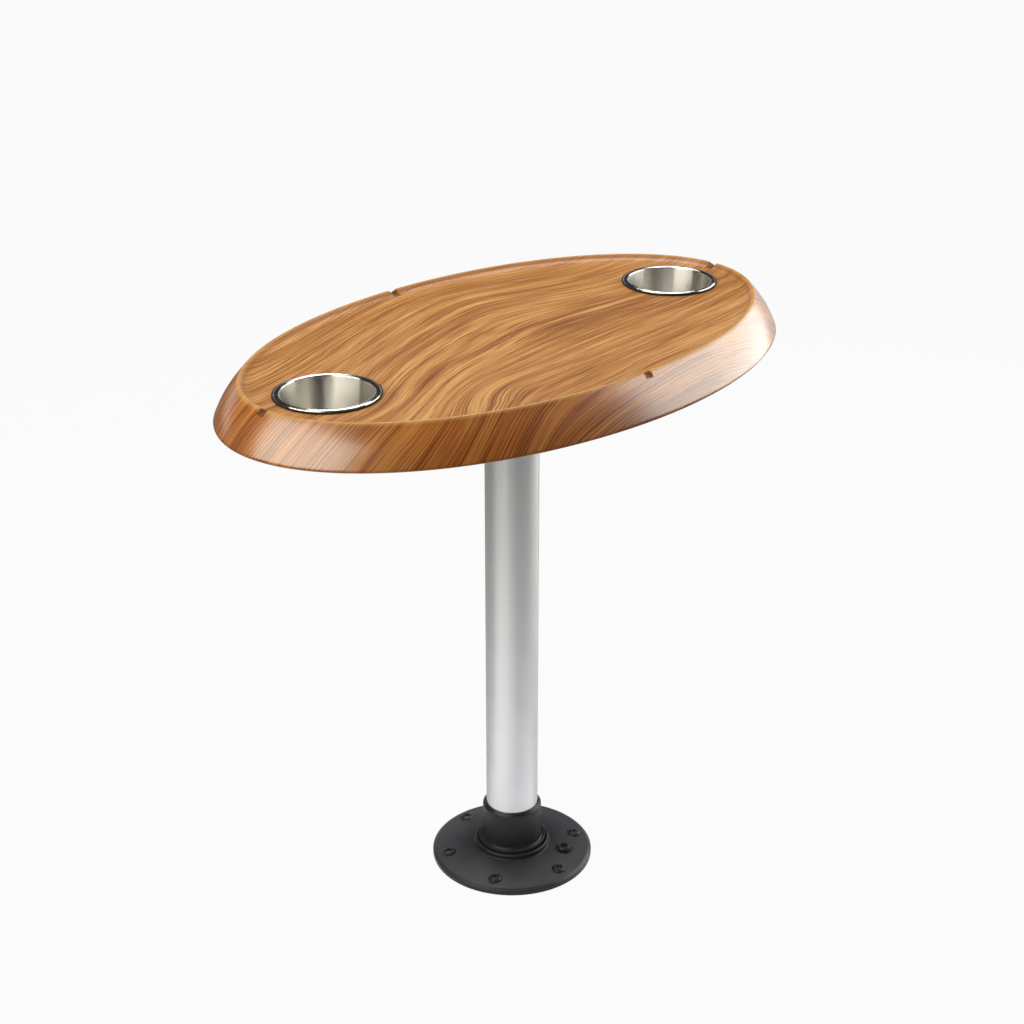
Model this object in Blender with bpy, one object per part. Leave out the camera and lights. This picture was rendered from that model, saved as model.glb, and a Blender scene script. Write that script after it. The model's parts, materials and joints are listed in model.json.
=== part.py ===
"""A marine pedestal table: an oval wooden top with two cup holders on a lift-out post.

Metres, +Z up. The origin is the centre of the base's underside, on the deck, and +X runs
along the length of the top.
"""
import math

import bmesh
import bpy
from mathutils import Matrix, Vector

# Clearances between pieces
GAP = 0.0003
FIT = 0.0003
RUNNING_GAP = 0.0007

# Wooden top
TABLE_HEIGHT = 0.655
TOP_LENGTH = 0.721
TOP_WIDTH = 0.431
TOP_THICKNESS = 0.0405
EDGE_FLARE = 0.0265
EDGE_BULGE = 0.0028
EDGE_BREAK = 0.0015
LIP_HEIGHT = 0.006
LIP_WIDTH = 0.006
LIP_SLOPE = 0.004
LIP_ROUND = 0.001
NOTCH_WIDTH = 0.012
NOTCH_FLOOR = 0.004
NOTCH_DEPTH = 0.0045

# Cup holders
CUP_SETBACK = 0.1055
CUP_RIM_RADIUS = 0.053
CUP_RIM_WIDTH = 0.0055
CUP_RIM_HEIGHT = 0.0024
CUP_DEPTH = 0.055
CUP_WALL = 0.001
CUP_TAPER = 0.004
CUP_CORNER = 0.006
CUP_CLEARANCE = 0.0008
GASKET_THICKNESS = 0.0012
GASKET_SHOW = 0.001

# Post
POST_RADIUS = 0.030
POST_WALL = 0.002
PLUG_CAP = 0.003
PLUG_LENGTH = 0.030
PLUG_WALL = 0.009
PLUG_CROWN = 0.004
KEY_LENGTH = 0.030
KEY_WIDTH = 0.008
KEY_HEIGHT = 0.005
PIN_RADIUS = 0.002
PIN_LENGTH = 0.008
PIN_SETBACK = 0.015

# Swivelling socket
COLLAR_TOP = 0.070
COLLAR_WALL = 0.0027
COLLAR_CHAMFER = 0.001
FOOT_LEDGE = 0.006
FOOT_THICKNESS = 0.0096
FOOT_BEAD = 0.0012
FOOT_FILLET = 0.003
SOCKET_FLOOR = 0.0038
SPIGOT_STEP = 0.0033
SPIGOT_CLEAR = 0.0012
DRAIN_RADIUS = 0.005

# Deck flange and what keeps the socket in it
FLANGE_RADIUS = 0.094
FLANGE_THICKNESS = 0.009
FLANGE_ROUND = 0.004
HUB_HEIGHT = 0.0205
HUB_WALL = 0.0032
HUB_FILLET = 0.005
WEB_TOP = 0.012
WEB_THICKNESS = 0.006
RECESS_MARGIN = 0.003
WASHER_THICKNESS = 0.0016
RING_THICKNESS = 0.0015
RING_WIDTH = 0.0072
RING_BITE = 0.0012
RING_OPENING = 0.008

# Fasteners
SCREW_COUNT = 6
SCREW_EDGE = 0.017
SCREW_HEAD_RADIUS = 0.0065
SCREW_HEAD_HEIGHT = 0.004
SCREW_RADIUS = 0.003
BOLT_INSET = 0.0135
BOLT_RADIUS = 0.004
BOLT_HEAD_RADIUS = 0.0075
BOLT_HEAD_HEIGHT = 0.005
BOLT_HEX = 0.0042
BOLT_WASHER_RADIUS = 0.0095
BOLT_WASHER_THICKNESS = 0.0018
TIP_CLEAR = 0.0005
DRIVEN_TURN = math.radians(11)

# Bracket under the top
BRACKET_RADIUS = 0.085
BRACKET_THICKNESS = 0.006
BRACKET_DEPTH = 0.060
BRACKET_CEILING = 0.009
BRACKET_WALL = 0.0035
BRACKET_FILLET = 0.008
BRACKET_SCREW_EDGE = 0.015
BUSH_WALL = 0.0024
BUSH_LIP = 0.0016
INSERT_RADIUS = 0.005
INSERT_LENGTH = 0.014
INSERT_DRILL = 0.004
SCREW_REACH = 0.002

# Facets round a turned piece, a small piece, the deck bolt and the oval
TURN = 32
SMALL_TURN = 8
BOLT_TURN = 16
OVAL_TURN = 72

# Radii that follow from the post
BORE_RADIUS = POST_RADIUS + FIT
COLLAR_RADIUS = BORE_RADIUS + COLLAR_WALL
FOOT_RADIUS = COLLAR_RADIUS + FOOT_LEDGE
HUB_INNER = FOOT_RADIUS + RUNNING_GAP
HUB_OUTER = HUB_INNER + HUB_WALL
SPIGOT_RADIUS = BORE_RADIUS - SPIGOT_STEP
BUSH_OUTER = BORE_RADIUS + BUSH_WALL
BRACKET_BORE = BUSH_OUTER + FIT
BRACKET_SOCKET = BRACKET_BORE + BRACKET_WALL
CUP_RADIUS = CUP_RIM_RADIUS - CUP_RIM_WIDTH
CUP_HOLE = CUP_RADIUS + CUP_CLEARANCE

# Heights that follow from the stack of pieces
SURFACE_Z = TABLE_HEIGHT - LIP_HEIGHT
UNDERSIDE_Z = TABLE_HEIGHT - TOP_THICKNESS
SOCKET_Z = WEB_TOP + WASHER_THICKNESS + 2 * GAP
SOCKET_FLOOR_Z = SOCKET_Z + SOCKET_FLOOR
BRACKET_CEILING_Z = UNDERSIDE_Z - GAP - BRACKET_CEILING
POST_HEIGHT = BRACKET_CEILING_Z - SOCKET_FLOOR_Z
TUBE_INSET = PLUG_CAP + 2 * GAP
RING_TOP = WEB_TOP - WEB_THICKNESS - GAP

WOOD = (0.42, 0.20, 0.07)
STEEL = (0.62, 0.60, 0.57)
ALUMINIUM = (0.70, 0.71, 0.73)
BLACK = (0.025, 0.025, 0.028)
NYLON = (0.72, 0.70, 0.64)
BRASS = (0.62, 0.45, 0.18)
RUBBER = (0.012, 0.012, 0.012)


def clear_scene():
    for item in list(bpy.data.objects):
        bpy.data.objects.remove(item, do_unlink=True)


def make_material(name, colour, roughness, metallic):
    material = bpy.data.materials.new(name)
    material.use_nodes = True
    shader = material.node_tree.nodes["Principled BSDF"]
    shader.inputs["Base Color"].default_value = (*colour, 1.0)
    shader.inputs["Roughness"].default_value = roughness
    shader.inputs["Metallic"].default_value = metallic
    return material


def add_frame(name, offset, parent=None):
    """An empty on a joint's axis, which carries the pieces that move together."""
    frame = bpy.data.objects.new(name, None)
    frame.location = offset
    frame.parent = parent
    bpy.context.collection.objects.link(frame)
    return frame


def lift(height):
    return Matrix.Translation((0.0, 0.0, height))


def add_piece(name, body, parent, colour, roughness, metallic=0.0, place=lift(0.0)):
    """Turn a finished body into a named object at its place in its parent frame."""
    mesh = bpy.data.meshes.new(name)
    body.to_mesh(mesh)
    body.free()
    mesh.shade_smooth()
    mesh.set_sharp_from_angle(angle=math.radians(35))
    mesh.materials.append(make_material(name, colour, roughness, metallic))
    piece = bpy.data.objects.new(name, mesh)
    piece.parent = parent
    piece.matrix_basis = place
    bpy.context.collection.objects.link(piece)
    return piece


def combine(piece, body, operation="DIFFERENCE"):
    """Cut a tool body out of a piece, or join it on, in the piece's own coordinates."""
    mesh = bpy.data.meshes.new(piece.name + "_tool")
    body.to_mesh(mesh)
    body.free()
    tool = bpy.data.objects.new(mesh.name, mesh)
    tool.parent = piece
    tool.hide_render = True
    tool.display_type = "WIRE"
    bpy.context.collection.objects.link(tool)
    modifier = piece.modifiers.new(operation.lower(), "BOOLEAN")
    modifier.operation = operation
    modifier.solver = "EXACT"
    modifier.object = tool


def arc(radius, height, size, start, end, steps):
    """Points of a round stretch of an outline, about a centre, with angles in degrees."""
    angles = [math.radians(start + (end - start) * i / steps) for i in range(steps + 1)]
    return [(radius + size * math.cos(a), height + size * math.sin(a)) for a in angles]


def turned(outline, facets=TURN):
    """Spin an outline of (radius, height) points once round Z.

    An outline that starts and ends on the axis makes a solid body, any other one a ring.
    """
    body = bmesh.new()
    points = [body.verts.new((radius, 0.0, height)) for radius, height in outline]
    pairs = list(zip(points, points[1:]))
    if outline[0][0] > 0.0:
        pairs.append((points[-1], points[0]))
    edges = [body.edges.new(pair) for pair in pairs]
    bmesh.ops.spin(body, geom=points + edges, cent=(0, 0, 0), axis=(0, 0, 1),
                   angle=2 * math.pi, steps=facets, use_merge=True)
    bmesh.ops.remove_doubles(body, verts=body.verts, dist=1e-6)
    bmesh.ops.recalc_face_normals(body, faces=body.faces)
    return body


def ring(inner, outer, low, high, facets=TURN):
    return turned([(inner, low), (outer, low), (outer, high), (inner, high)], facets)


def rod(radius, low, high, facets=SMALL_TURN):
    return turned([(0.0, low), (radius, low), (radius, high), (0.0, high)], facets)


def prism(outline, low, high):
    """Extrude a flat outline of (x, y) points from one height to another."""
    body = bmesh.new()
    face = body.faces.new([body.verts.new((x, y, low)) for x, y in outline])
    swept = bmesh.ops.extrude_face_region(body, geom=[face])["geom"]
    lifted = [item for item in swept if isinstance(item, bmesh.types.BMVert)]
    bmesh.ops.translate(body, vec=(0, 0, high - low), verts=lifted)
    bmesh.ops.recalc_face_normals(body, faces=body.faces)
    return body


def box(length, width, low, high):
    x = length / 2
    y = width / 2
    return prism([(-x, -y), (x, -y), (x, y), (-x, y)], low, high)


def repeat(body, places):
    """Separate copies of one body, one at each of the given transforms."""
    mesh = bpy.data.meshes.new("single")
    body.to_mesh(mesh)
    body.free()
    copies = bmesh.new()
    for place in places:
        start = len(copies.verts)
        copies.from_mesh(mesh)
        copies.verts.ensure_lookup_table()
        bmesh.ops.transform(copies, matrix=place, verts=copies.verts[start:])
    bpy.data.meshes.remove(mesh)
    return copies


def circle_places(radius, count, turn=0.0, height=0.0):
    """Transforms evenly round a circle about Z, each driven to the same odd angle."""
    step = 2 * math.pi / count
    shift = Matrix.Translation((radius, 0.0, height)) @ Matrix.Rotation(DRIVEN_TURN, 4, "Z")
    return [Matrix.Rotation(turn + i * step, 4, "Z") @ shift for i in range(count)]


def radial_place(angle, reach, height):
    """A transform whose Z points out from the axis, with Y up and X along the tangent."""
    outward = Vector((math.cos(angle), math.sin(angle), 0.0))
    tangent = Vector((-outward.y, outward.x, 0.0))
    turn = Matrix((tangent, (0.0, 0.0, 1.0), outward)).transposed().to_4x4()
    return Matrix.Translation(outward * reach + Vector((0.0, 0.0, height))) @ turn


def screw_body(length):
    """A pan-head screw that points down, with the underside of its head at zero."""
    side = SCREW_HEAD_HEIGHT * 0.3
    dome = SCREW_HEAD_HEIGHT - side
    outline = [(0.0, -length), (SCREW_RADIUS, -length), (SCREW_RADIUS, 0.0), (SCREW_HEAD_RADIUS, 0.0)]
    for angle in (0, 35, 65):
        turn = math.radians(angle)
        outline.append((SCREW_HEAD_RADIUS * math.cos(turn), side + dome * math.sin(turn)))
    outline.append((0.0, SCREW_HEAD_HEIGHT))
    return turned(outline, SMALL_TURN)


def cross_recess():
    """The cross-shaped driver recess in a screw head."""
    reach = SCREW_HEAD_RADIUS * 0.55
    half = SCREW_HEAD_RADIUS * 0.12
    corner = [(reach, -half), (reach, half), (half, half)]
    outline = []
    for quarter in range(4):
        turn = Matrix.Rotation(quarter * math.pi / 2, 2)
        outline += [tuple(turn @ Vector(point)) for point in corner]
    return prism(outline, SCREW_HEAD_HEIGHT * 0.5, SCREW_HEAD_HEIGHT * 1.5)


def make_screw(name, length, parent, place, colour, roughness, metallic):
    screw = add_piece(name, screw_body(length), parent, colour, roughness, metallic, place)
    combine(screw, cross_recess())


def base_screw_places(height=0.0):
    half_step = math.pi / SCREW_COUNT
    return circle_places(FLANGE_RADIUS - SCREW_EDGE, SCREW_COUNT, half_step, height)


def bolt_place(height=0.0):
    """The bolt stands between two of the screws, nearer to the hub."""
    turn = -2 * math.pi / SCREW_COUNT
    return circle_places(FLANGE_RADIUS - SCREW_EDGE - BOLT_INSET, 1, turn, height)[0]


def make_base_flange(base):
    shoulder = FLANGE_RADIUS - FLANGE_ROUND
    recess = SPIGOT_RADIUS - RING_BITE + RING_WIDTH + RECESS_MARGIN
    web_bottom = WEB_TOP - WEB_THICKNESS
    crest = HUB_WALL / 2
    outline = [(recess, 0.0), (FLANGE_RADIUS - EDGE_BREAK, 0.0), (FLANGE_RADIUS, EDGE_BREAK)]
    outline += arc(shoulder, FLANGE_THICKNESS - FLANGE_ROUND, FLANGE_ROUND, 0, 90, 3)
    outline += arc(HUB_OUTER + HUB_FILLET, FLANGE_THICKNESS + HUB_FILLET, HUB_FILLET, 270, 180, 3)
    outline += arc(HUB_INNER + crest, HUB_HEIGHT - crest, crest, 0, 180, 4)
    outline += [(HUB_INNER, WEB_TOP), (SPIGOT_RADIUS + FIT, WEB_TOP)]
    outline += [(SPIGOT_RADIUS + FIT, web_bottom), (recess, web_bottom)]
    flange = add_piece("base_flange", turned(outline), base, BLACK, 0.45)
    through = 2 * FLANGE_THICKNESS
    combine(flange, repeat(rod(SCREW_RADIUS + FIT, -through, through), base_screw_places()))
    bolt_hole = rod(BOLT_RADIUS + FIT, -through, through, BOLT_TURN)
    combine(flange, repeat(bolt_hole, [bolt_place()]))


def make_base_fasteners(base):
    seat = FLANGE_THICKNESS + GAP
    for number, place in enumerate(base_screw_places(seat), 1):
        make_screw(f"base_screw_{number}", seat - TIP_CLEAR, base, place, BLACK, 0.40, 0.0)

    washer = ring(BOLT_RADIUS + FIT, BOLT_WASHER_RADIUS, 0.0, BOLT_WASHER_THICKNESS, BOLT_TURN)
    add_piece("deck_bolt_washer", washer, base, BLACK, 0.35, place=bolt_place(seat))

    head = seat + BOLT_WASHER_THICKNESS + GAP
    chamfer = BOLT_HEAD_HEIGHT * 0.2
    outline = [(0.0, TIP_CLEAR - head), (BOLT_RADIUS, TIP_CLEAR - head), (BOLT_RADIUS, 0.0)]
    outline += [(BOLT_HEAD_RADIUS, 0.0), (BOLT_HEAD_RADIUS, BOLT_HEAD_HEIGHT - chamfer)]
    outline += [(BOLT_HEAD_RADIUS - chamfer, BOLT_HEAD_HEIGHT), (0.0, BOLT_HEAD_HEIGHT)]
    body = turned(outline, BOLT_TURN)
    bolt = add_piece("deck_bolt", body, base, BLACK, 0.35, place=bolt_place(head))
    combine(bolt, rod(BOLT_HEX, BOLT_HEAD_HEIGHT * 0.4, BOLT_HEAD_HEIGHT * 2, 6))


def make_thrust_washer(base):
    washer = ring(SPIGOT_RADIUS + FIT, HUB_INNER - RUNNING_GAP, 0.0, WASHER_THICKNESS)
    add_piece("thrust_washer", washer, base, NYLON, 0.40, place=lift(WEB_TOP + GAP))


def make_post_socket(swivel):
    """The collar, its foot and the spigot below, about the underside of the foot."""
    top = COLLAR_TOP - SOCKET_Z
    bottom = SPIGOT_CLEAR - SOCKET_Z
    groove_top = RING_TOP + GAP - SOCKET_Z
    groove_low = RING_TOP - RING_THICKNESS - GAP - SOCKET_Z
    groove = SPIGOT_RADIUS - RING_BITE - GAP
    bead = FOOT_RADIUS - FOOT_BEAD
    valley = FOOT_THICKNESS - FOOT_BEAD
    rim = COLLAR_CHAMFER
    outline = [(SPIGOT_RADIUS, 0.0), (FOOT_RADIUS, 0.0)]
    outline += arc(bead, valley, FOOT_BEAD, 0, 180, 3)
    outline += arc(COLLAR_RADIUS + FOOT_FILLET, valley + FOOT_FILLET, FOOT_FILLET, 270, 180, 3)
    outline += [(COLLAR_RADIUS, top - rim / 2), (COLLAR_RADIUS - rim / 2, top)]
    outline += [(BORE_RADIUS + rim, top), (BORE_RADIUS, top - rim), (BORE_RADIUS, SOCKET_FLOOR)]
    outline += [(DRAIN_RADIUS, SOCKET_FLOOR), (DRAIN_RADIUS, bottom), (SPIGOT_RADIUS, bottom)]
    outline += [(SPIGOT_RADIUS, groove_low), (groove, groove_low)]
    outline += [(groove, groove_top), (SPIGOT_RADIUS, groove_top)]
    socket = add_piece("post_socket", turned(outline), swivel, BLACK, 0.50)
    slot_depth = KEY_HEIGHT + FIT
    combine(socket, box(KEY_LENGTH + 2 * FIT, KEY_WIDTH + 2 * FIT, SOCKET_FLOOR - slot_depth,
                        SOCKET_FLOOR + slot_depth))


def make_retaining_ring(swivel):
    inner = SPIGOT_RADIUS - RING_BITE
    outer = inner + RING_WIDTH
    clip = add_piece("retaining_ring", ring(inner, outer, -RING_THICKNESS, 0.0), swivel, STEEL,
                     0.35, 1.0, lift(RING_TOP - SOCKET_Z))
    opening = box(RING_WIDTH * 4, RING_OPENING, -2 * RING_THICKNESS, RING_THICKNESS)
    bmesh.ops.translate(opening, vec=(-outer, 0.0, 0.0), verts=opening.verts)
    combine(clip, opening)


def pin_places(height):
    """Two pins opposite each other, across the key, flush with the tube."""
    flush = POST_RADIUS * math.cos(math.pi / TURN) - GAP
    return [radial_place(side * math.pi / 2, flush, height) for side in (1, -1)]


def pin_holes(height):
    hole = rod(PIN_RADIUS + FIT, -PIN_LENGTH - FIT, PIN_LENGTH)
    return repeat(hole, pin_places(height))


def make_post_tube(post):
    low = TUBE_INSET
    high = POST_HEIGHT - TUBE_INSET
    tube = add_piece("post_tube", ring(POST_RADIUS - POST_WALL, POST_RADIUS, low, high), post,
                     ALUMINIUM, 0.35, 1.0)
    combine(tube, pin_holes(low + PIN_SETBACK))
    combine(tube, pin_holes(high - PIN_SETBACK))


def make_plug(post, end_name, seat, side):
    """An end plug with its key and pins; side is 1 where the tube is above it, else -1."""
    stem = POST_RADIUS - POST_WALL - FIT
    hollow = stem - PLUG_WALL
    crown = PLUG_CAP + PLUG_CROWN
    end = PLUG_CAP + PLUG_LENGTH
    levels = [(0.0, 0.0), (POST_RADIUS, 0.0), (POST_RADIUS, PLUG_CAP), (stem, PLUG_CAP)]
    levels += [(stem, end), (hollow, end), (hollow, crown), (0.0, crown)]
    outline = [(radius, side * level) for radius, level in levels]
    plug = add_piece(f"post_{end_name}_plug", turned(outline), post, BLACK, 0.50, place=lift(seat))
    sink = PLUG_CAP / 2
    low, high = sorted((-side * KEY_HEIGHT, side * sink))
    combine(plug, box(KEY_LENGTH, KEY_WIDTH, low, high), "UNION")
    level = side * (PLUG_CAP + GAP + PIN_SETBACK)
    combine(plug, pin_holes(level))
    for number, place in enumerate(pin_places(seat + level), 1):
        pin = rod(PIN_RADIUS, -PIN_LENGTH, 0.0)
        add_piece(f"{end_name}_plug_pin_{number}", pin, post, STEEL, 0.35, 1.0, place)


def oval_loop(body, reach, height):
    """One loop of the top's outline, moved outward from the crest of the lip by reach."""
    long_half = TOP_LENGTH / 2 - EDGE_FLARE + reach
    short_half = TOP_WIDTH / 2 - EDGE_FLARE + reach
    turns = [2 * math.pi * i / OVAL_TURN for i in range(OVAL_TURN)]
    return [body.verts.new((long_half * math.cos(t), short_half * math.sin(t), height)) for t in turns]


def edge_outline():
    """The top's edge from underside to surface, as (reach, height) about the underside."""
    steps = 4
    rise = TOP_THICKNESS - LIP_ROUND - EDGE_BREAK
    points = [(EDGE_FLARE - EDGE_BREAK, 0.0)]
    for i in range(steps + 1):
        share = i / steps
        bulge = EDGE_BULGE * math.sin(math.pi * share)
        points.append((EDGE_FLARE * (1 - share) + bulge, EDGE_BREAK + rise * share))
    points += [(-LIP_ROUND, TOP_THICKNESS), (-LIP_WIDTH, TOP_THICKNESS)]
    points.append((-LIP_WIDTH - LIP_SLOPE, TOP_THICKNESS - LIP_HEIGHT))
    return points


def oval_board():
    body = bmesh.new()
    loops = [oval_loop(body, reach, height) for reach, height in edge_outline()]
    for lower, upper in zip(loops, loops[1:]):
        for i in range(OVAL_TURN):
            j = (i + 1) % OVAL_TURN
            body.faces.new((lower[i], lower[j], upper[j], upper[i]))
    body.faces.new(loops[0])
    body.faces.new(loops[-1])
    bmesh.ops.recalc_face_normals(body, faces=body.faces)
    return body


def drain_notches():
    """Four slots through the lip, at the ends of the oval's long and short axes."""
    half = NOTCH_WIDTH / 2
    floor = NOTCH_FLOOR / 2
    outline = [(-floor, -NOTCH_DEPTH), (floor, -NOTCH_DEPTH), (half, 0.0), (half, NOTCH_DEPTH)]
    outline += [(-half, NOTCH_DEPTH), (-half, 0.0)]
    inside = -2 * (LIP_WIDTH + LIP_SLOPE)
    slot = prism(outline, inside, EDGE_FLARE)
    long_half = TOP_LENGTH / 2 - EDGE_FLARE
    short_half = TOP_WIDTH / 2 - EDGE_FLARE
    places = []
    for quarter in range(4):
        reach = short_half if quarter % 2 else long_half
        places.append(radial_place(quarter * math.pi / 2, reach, TOP_THICKNESS))
    return repeat(slot, places)


def bracket_screw_places(height=0.0):
    return circle_places(BRACKET_RADIUS - BRACKET_SCREW_EDGE, SCREW_COUNT, height=height)


def cup_offsets(height=0.0):
    """Places of the two cups, each set back by the same amount from its end of the oval."""
    reach = TOP_LENGTH / 2 - CUP_SETBACK
    return [Matrix.Translation((side * reach, 0.0, height)) for side in (-1, 1)]


def make_table_top(top):
    board = add_piece("table_top", oval_board(), top, WOOD, 0.45)
    through = 2 * TOP_THICKNESS
    combine(board, repeat(rod(CUP_HOLE, -through, through, TURN), cup_offsets()))
    combine(board, drain_notches())
    drilled = INSERT_LENGTH + INSERT_DRILL
    pockets = rod(INSERT_RADIUS + FIT, -drilled, drilled)
    combine(board, repeat(pockets, bracket_screw_places()))


def make_top_bracket(top):
    """The flanged socket under the board, about the board's underside."""
    mouth = -BRACKET_DEPTH
    outline = [(0.0, 0.0), (BRACKET_RADIUS, 0.0), (BRACKET_RADIUS, EDGE_BREAK - BRACKET_THICKNESS)]
    outline.append((BRACKET_RADIUS - EDGE_BREAK, -BRACKET_THICKNESS))
    outline += arc(BRACKET_SOCKET + BRACKET_FILLET, -BRACKET_THICKNESS - BRACKET_FILLET,
                   BRACKET_FILLET, 90, 180, 3)
    outline += [(BRACKET_SOCKET, mouth), (BRACKET_BORE, mouth)]
    outline += [(BRACKET_BORE, -BRACKET_CEILING), (0.0, -BRACKET_CEILING)]
    bracket = add_piece("top_bracket", turned(outline), top, BLACK, 0.45, place=lift(-GAP))
    slot_depth = KEY_HEIGHT + FIT
    combine(bracket, box(KEY_LENGTH + 2 * FIT, KEY_WIDTH + 2 * FIT, -BRACKET_CEILING - slot_depth,
                         -BRACKET_CEILING + slot_depth))
    through = 2 * BRACKET_THICKNESS
    combine(bracket, repeat(rod(SCREW_RADIUS + FIT, -through, through), bracket_screw_places()))


def make_bracket_bush(top):
    high = -BRACKET_CEILING - GAP
    mouth = -BRACKET_DEPTH - GAP
    outline = [(BORE_RADIUS, high), (BORE_RADIUS, mouth - BUSH_LIP), (BRACKET_SOCKET, mouth - BUSH_LIP)]
    outline += [(BRACKET_SOCKET, mouth), (BUSH_OUTER, mouth), (BUSH_OUTER, high)]
    add_piece("bracket_bush", turned(outline), top, NYLON, 0.45, place=lift(-GAP))


def make_bracket_fasteners(top):
    seat = -BRACKET_THICKNESS - 2 * GAP
    length = INSERT_LENGTH + SCREW_REACH - seat
    flip = Matrix.Rotation(math.pi, 4, "X")
    for number, place in enumerate(bracket_screw_places(seat), 1):
        make_screw(f"bracket_screw_{number}", length, top, place @ flip, STEEL, 0.30, 1.0)
    for number, place in enumerate(bracket_screw_places(), 1):
        insert = ring(SCREW_RADIUS + FIT, INSERT_RADIUS, 0.0, INSERT_LENGTH, SMALL_TURN)
        add_piece(f"bracket_insert_{number}", insert, top, BRASS, 0.35, 1.0, place)


def make_cup(cup, name):
    """A drop-in cup with a rolled rim, about the table surface."""
    rim_low = GASKET_THICKNESS + 2 * GAP
    rim_top = rim_low + CUP_RIM_HEIGHT
    roll = CUP_RIM_HEIGHT / 2
    foot = CUP_RADIUS - CUP_TAPER
    inner_corner = CUP_CORNER - CUP_WALL
    outline = [(0.0, -CUP_DEPTH)]
    outline += arc(foot - CUP_CORNER, CUP_CORNER - CUP_DEPTH, CUP_CORNER, 270, 360, 3)
    outline += [(CUP_RADIUS, rim_low), (CUP_RIM_RADIUS - roll, rim_low)]
    outline += arc(CUP_RIM_RADIUS - roll, rim_low + roll, roll, 0, 90, 2)
    mouth = CUP_RADIUS - CUP_WALL
    outline += [(mouth + roll, rim_top), (mouth, rim_low)]
    outline += arc(foot - CUP_CORNER, CUP_CORNER - CUP_DEPTH, inner_corner, 360, 270, 3)
    outline.append((0.0, CUP_WALL - CUP_DEPTH))
    add_piece(name, turned(outline), cup, STEEL, 0.25, 1.0)


def make_gasket(top, name, place):
    body = ring(CUP_HOLE, CUP_RIM_RADIUS + GASKET_SHOW, GAP, GAP + GASKET_THICKNESS)
    add_piece(name, body, top, RUBBER, 0.60, place=place)


def main():
    clear_scene()
    base = add_frame("base_frame", (0.0, 0.0, 0.0))
    swivel = add_frame("swivel_frame", (0.0, 0.0, SOCKET_Z), base)
    post = add_frame("post_frame", (0.0, 0.0, SOCKET_FLOOR), swivel)
    top = add_frame("top_frame", (0.0, 0.0, UNDERSIDE_Z - SOCKET_FLOOR_Z), post)

    make_base_flange(base)
    make_base_fasteners(base)
    make_thrust_washer(base)
    make_post_socket(swivel)
    make_retaining_ring(swivel)
    make_post_tube(post)
    make_plug(post, "foot", GAP, 1)
    make_plug(post, "head", POST_HEIGHT - GAP, -1)
    make_table_top(top)
    make_top_bracket(top)
    make_bracket_bush(top)
    make_bracket_fasteners(top)
    surface = SURFACE_Z - UNDERSIDE_Z
    for side, place in zip(("left", "right"), cup_offsets(surface)):
        make_gasket(top, "cup_gasket_" + side, place)
        cup = add_frame("cup_frame_" + side, place.translation, top)
        make_cup(cup, "cup_holder_" + side)


main()
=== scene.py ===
"""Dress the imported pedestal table: an oval wooden top with two cups, a lift-out post and a deck base.

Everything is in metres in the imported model's own frame: +X along the top, +Z up the post.
"""

import json
import math

import bmesh
import bpy
import numpy as np
from bpy.props import FloatProperty, FloatVectorProperty, IntProperty, PointerProperty
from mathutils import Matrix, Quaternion, Vector

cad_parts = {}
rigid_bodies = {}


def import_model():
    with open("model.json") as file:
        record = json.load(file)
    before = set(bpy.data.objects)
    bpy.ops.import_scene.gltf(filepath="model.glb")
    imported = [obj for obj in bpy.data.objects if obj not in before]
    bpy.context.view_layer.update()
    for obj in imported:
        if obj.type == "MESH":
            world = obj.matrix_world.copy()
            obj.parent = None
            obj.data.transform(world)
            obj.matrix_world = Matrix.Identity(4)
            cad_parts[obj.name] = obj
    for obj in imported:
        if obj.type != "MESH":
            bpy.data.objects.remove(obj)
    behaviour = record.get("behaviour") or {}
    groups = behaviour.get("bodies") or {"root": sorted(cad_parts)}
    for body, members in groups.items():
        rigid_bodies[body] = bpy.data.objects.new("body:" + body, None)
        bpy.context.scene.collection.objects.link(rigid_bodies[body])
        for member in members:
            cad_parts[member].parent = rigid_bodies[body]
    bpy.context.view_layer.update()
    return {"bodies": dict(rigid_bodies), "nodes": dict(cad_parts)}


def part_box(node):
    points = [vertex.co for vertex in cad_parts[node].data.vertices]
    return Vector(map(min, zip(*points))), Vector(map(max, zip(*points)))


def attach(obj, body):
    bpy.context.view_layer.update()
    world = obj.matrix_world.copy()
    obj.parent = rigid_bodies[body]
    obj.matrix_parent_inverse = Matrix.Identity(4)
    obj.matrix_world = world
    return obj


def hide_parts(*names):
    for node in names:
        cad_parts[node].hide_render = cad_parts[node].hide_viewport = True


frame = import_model()

bl_info = {
    "name": "Pedestal table dressing",
    "version": (1, 0, 0),
    "blender": (4, 5, 0),
    "location": "3D View > Sidebar > Pedestal",
    "description": "Builds the visible pieces, finishes and studio of an oval pedestal table",
    "category": "Object",
}

# How fine the meshes are: steps round a surface, steps along an outline, and the flange's longest step.
TURN_STEPS = 192
SMALL_STEPS = 72
OVAL_STEPS = 960
BAR_STEPS = 64
SEAM_STEPS = 96
PLATE_STEPS = 4
ARC_STEPS = 7
LOWER_STEPS = 6
BAND_STEPS = 12
COVE_STEPS = 12
RIM_STEPS = 32
BEAD_STEPS = 10
CROWN_STEPS = 25
FLANGE_STEP = 0.0025

# Support points beside corners, merging, hard edges, and the gap between pieces that fit.
HOLD = 0.0004
LONG_SIDE = 8 * HOLD
MERGE = 1e-6
SHARP = math.radians(38)
FIT = 0.0003

# A recess's wall lies between these distances from its outline, and a head starts at this height.
RECESS_WALL = (-0.00022, 0.00012)
HEAD_START = 0.0003

# How far each screw's cross is turned on from the last one's, and the turn of the bolt's head.
SCREW_TURN = math.radians(53)
BOLT_HEAD_TURN = math.radians(20)

SIDES = {"left": -1, "right": 1}

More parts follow.
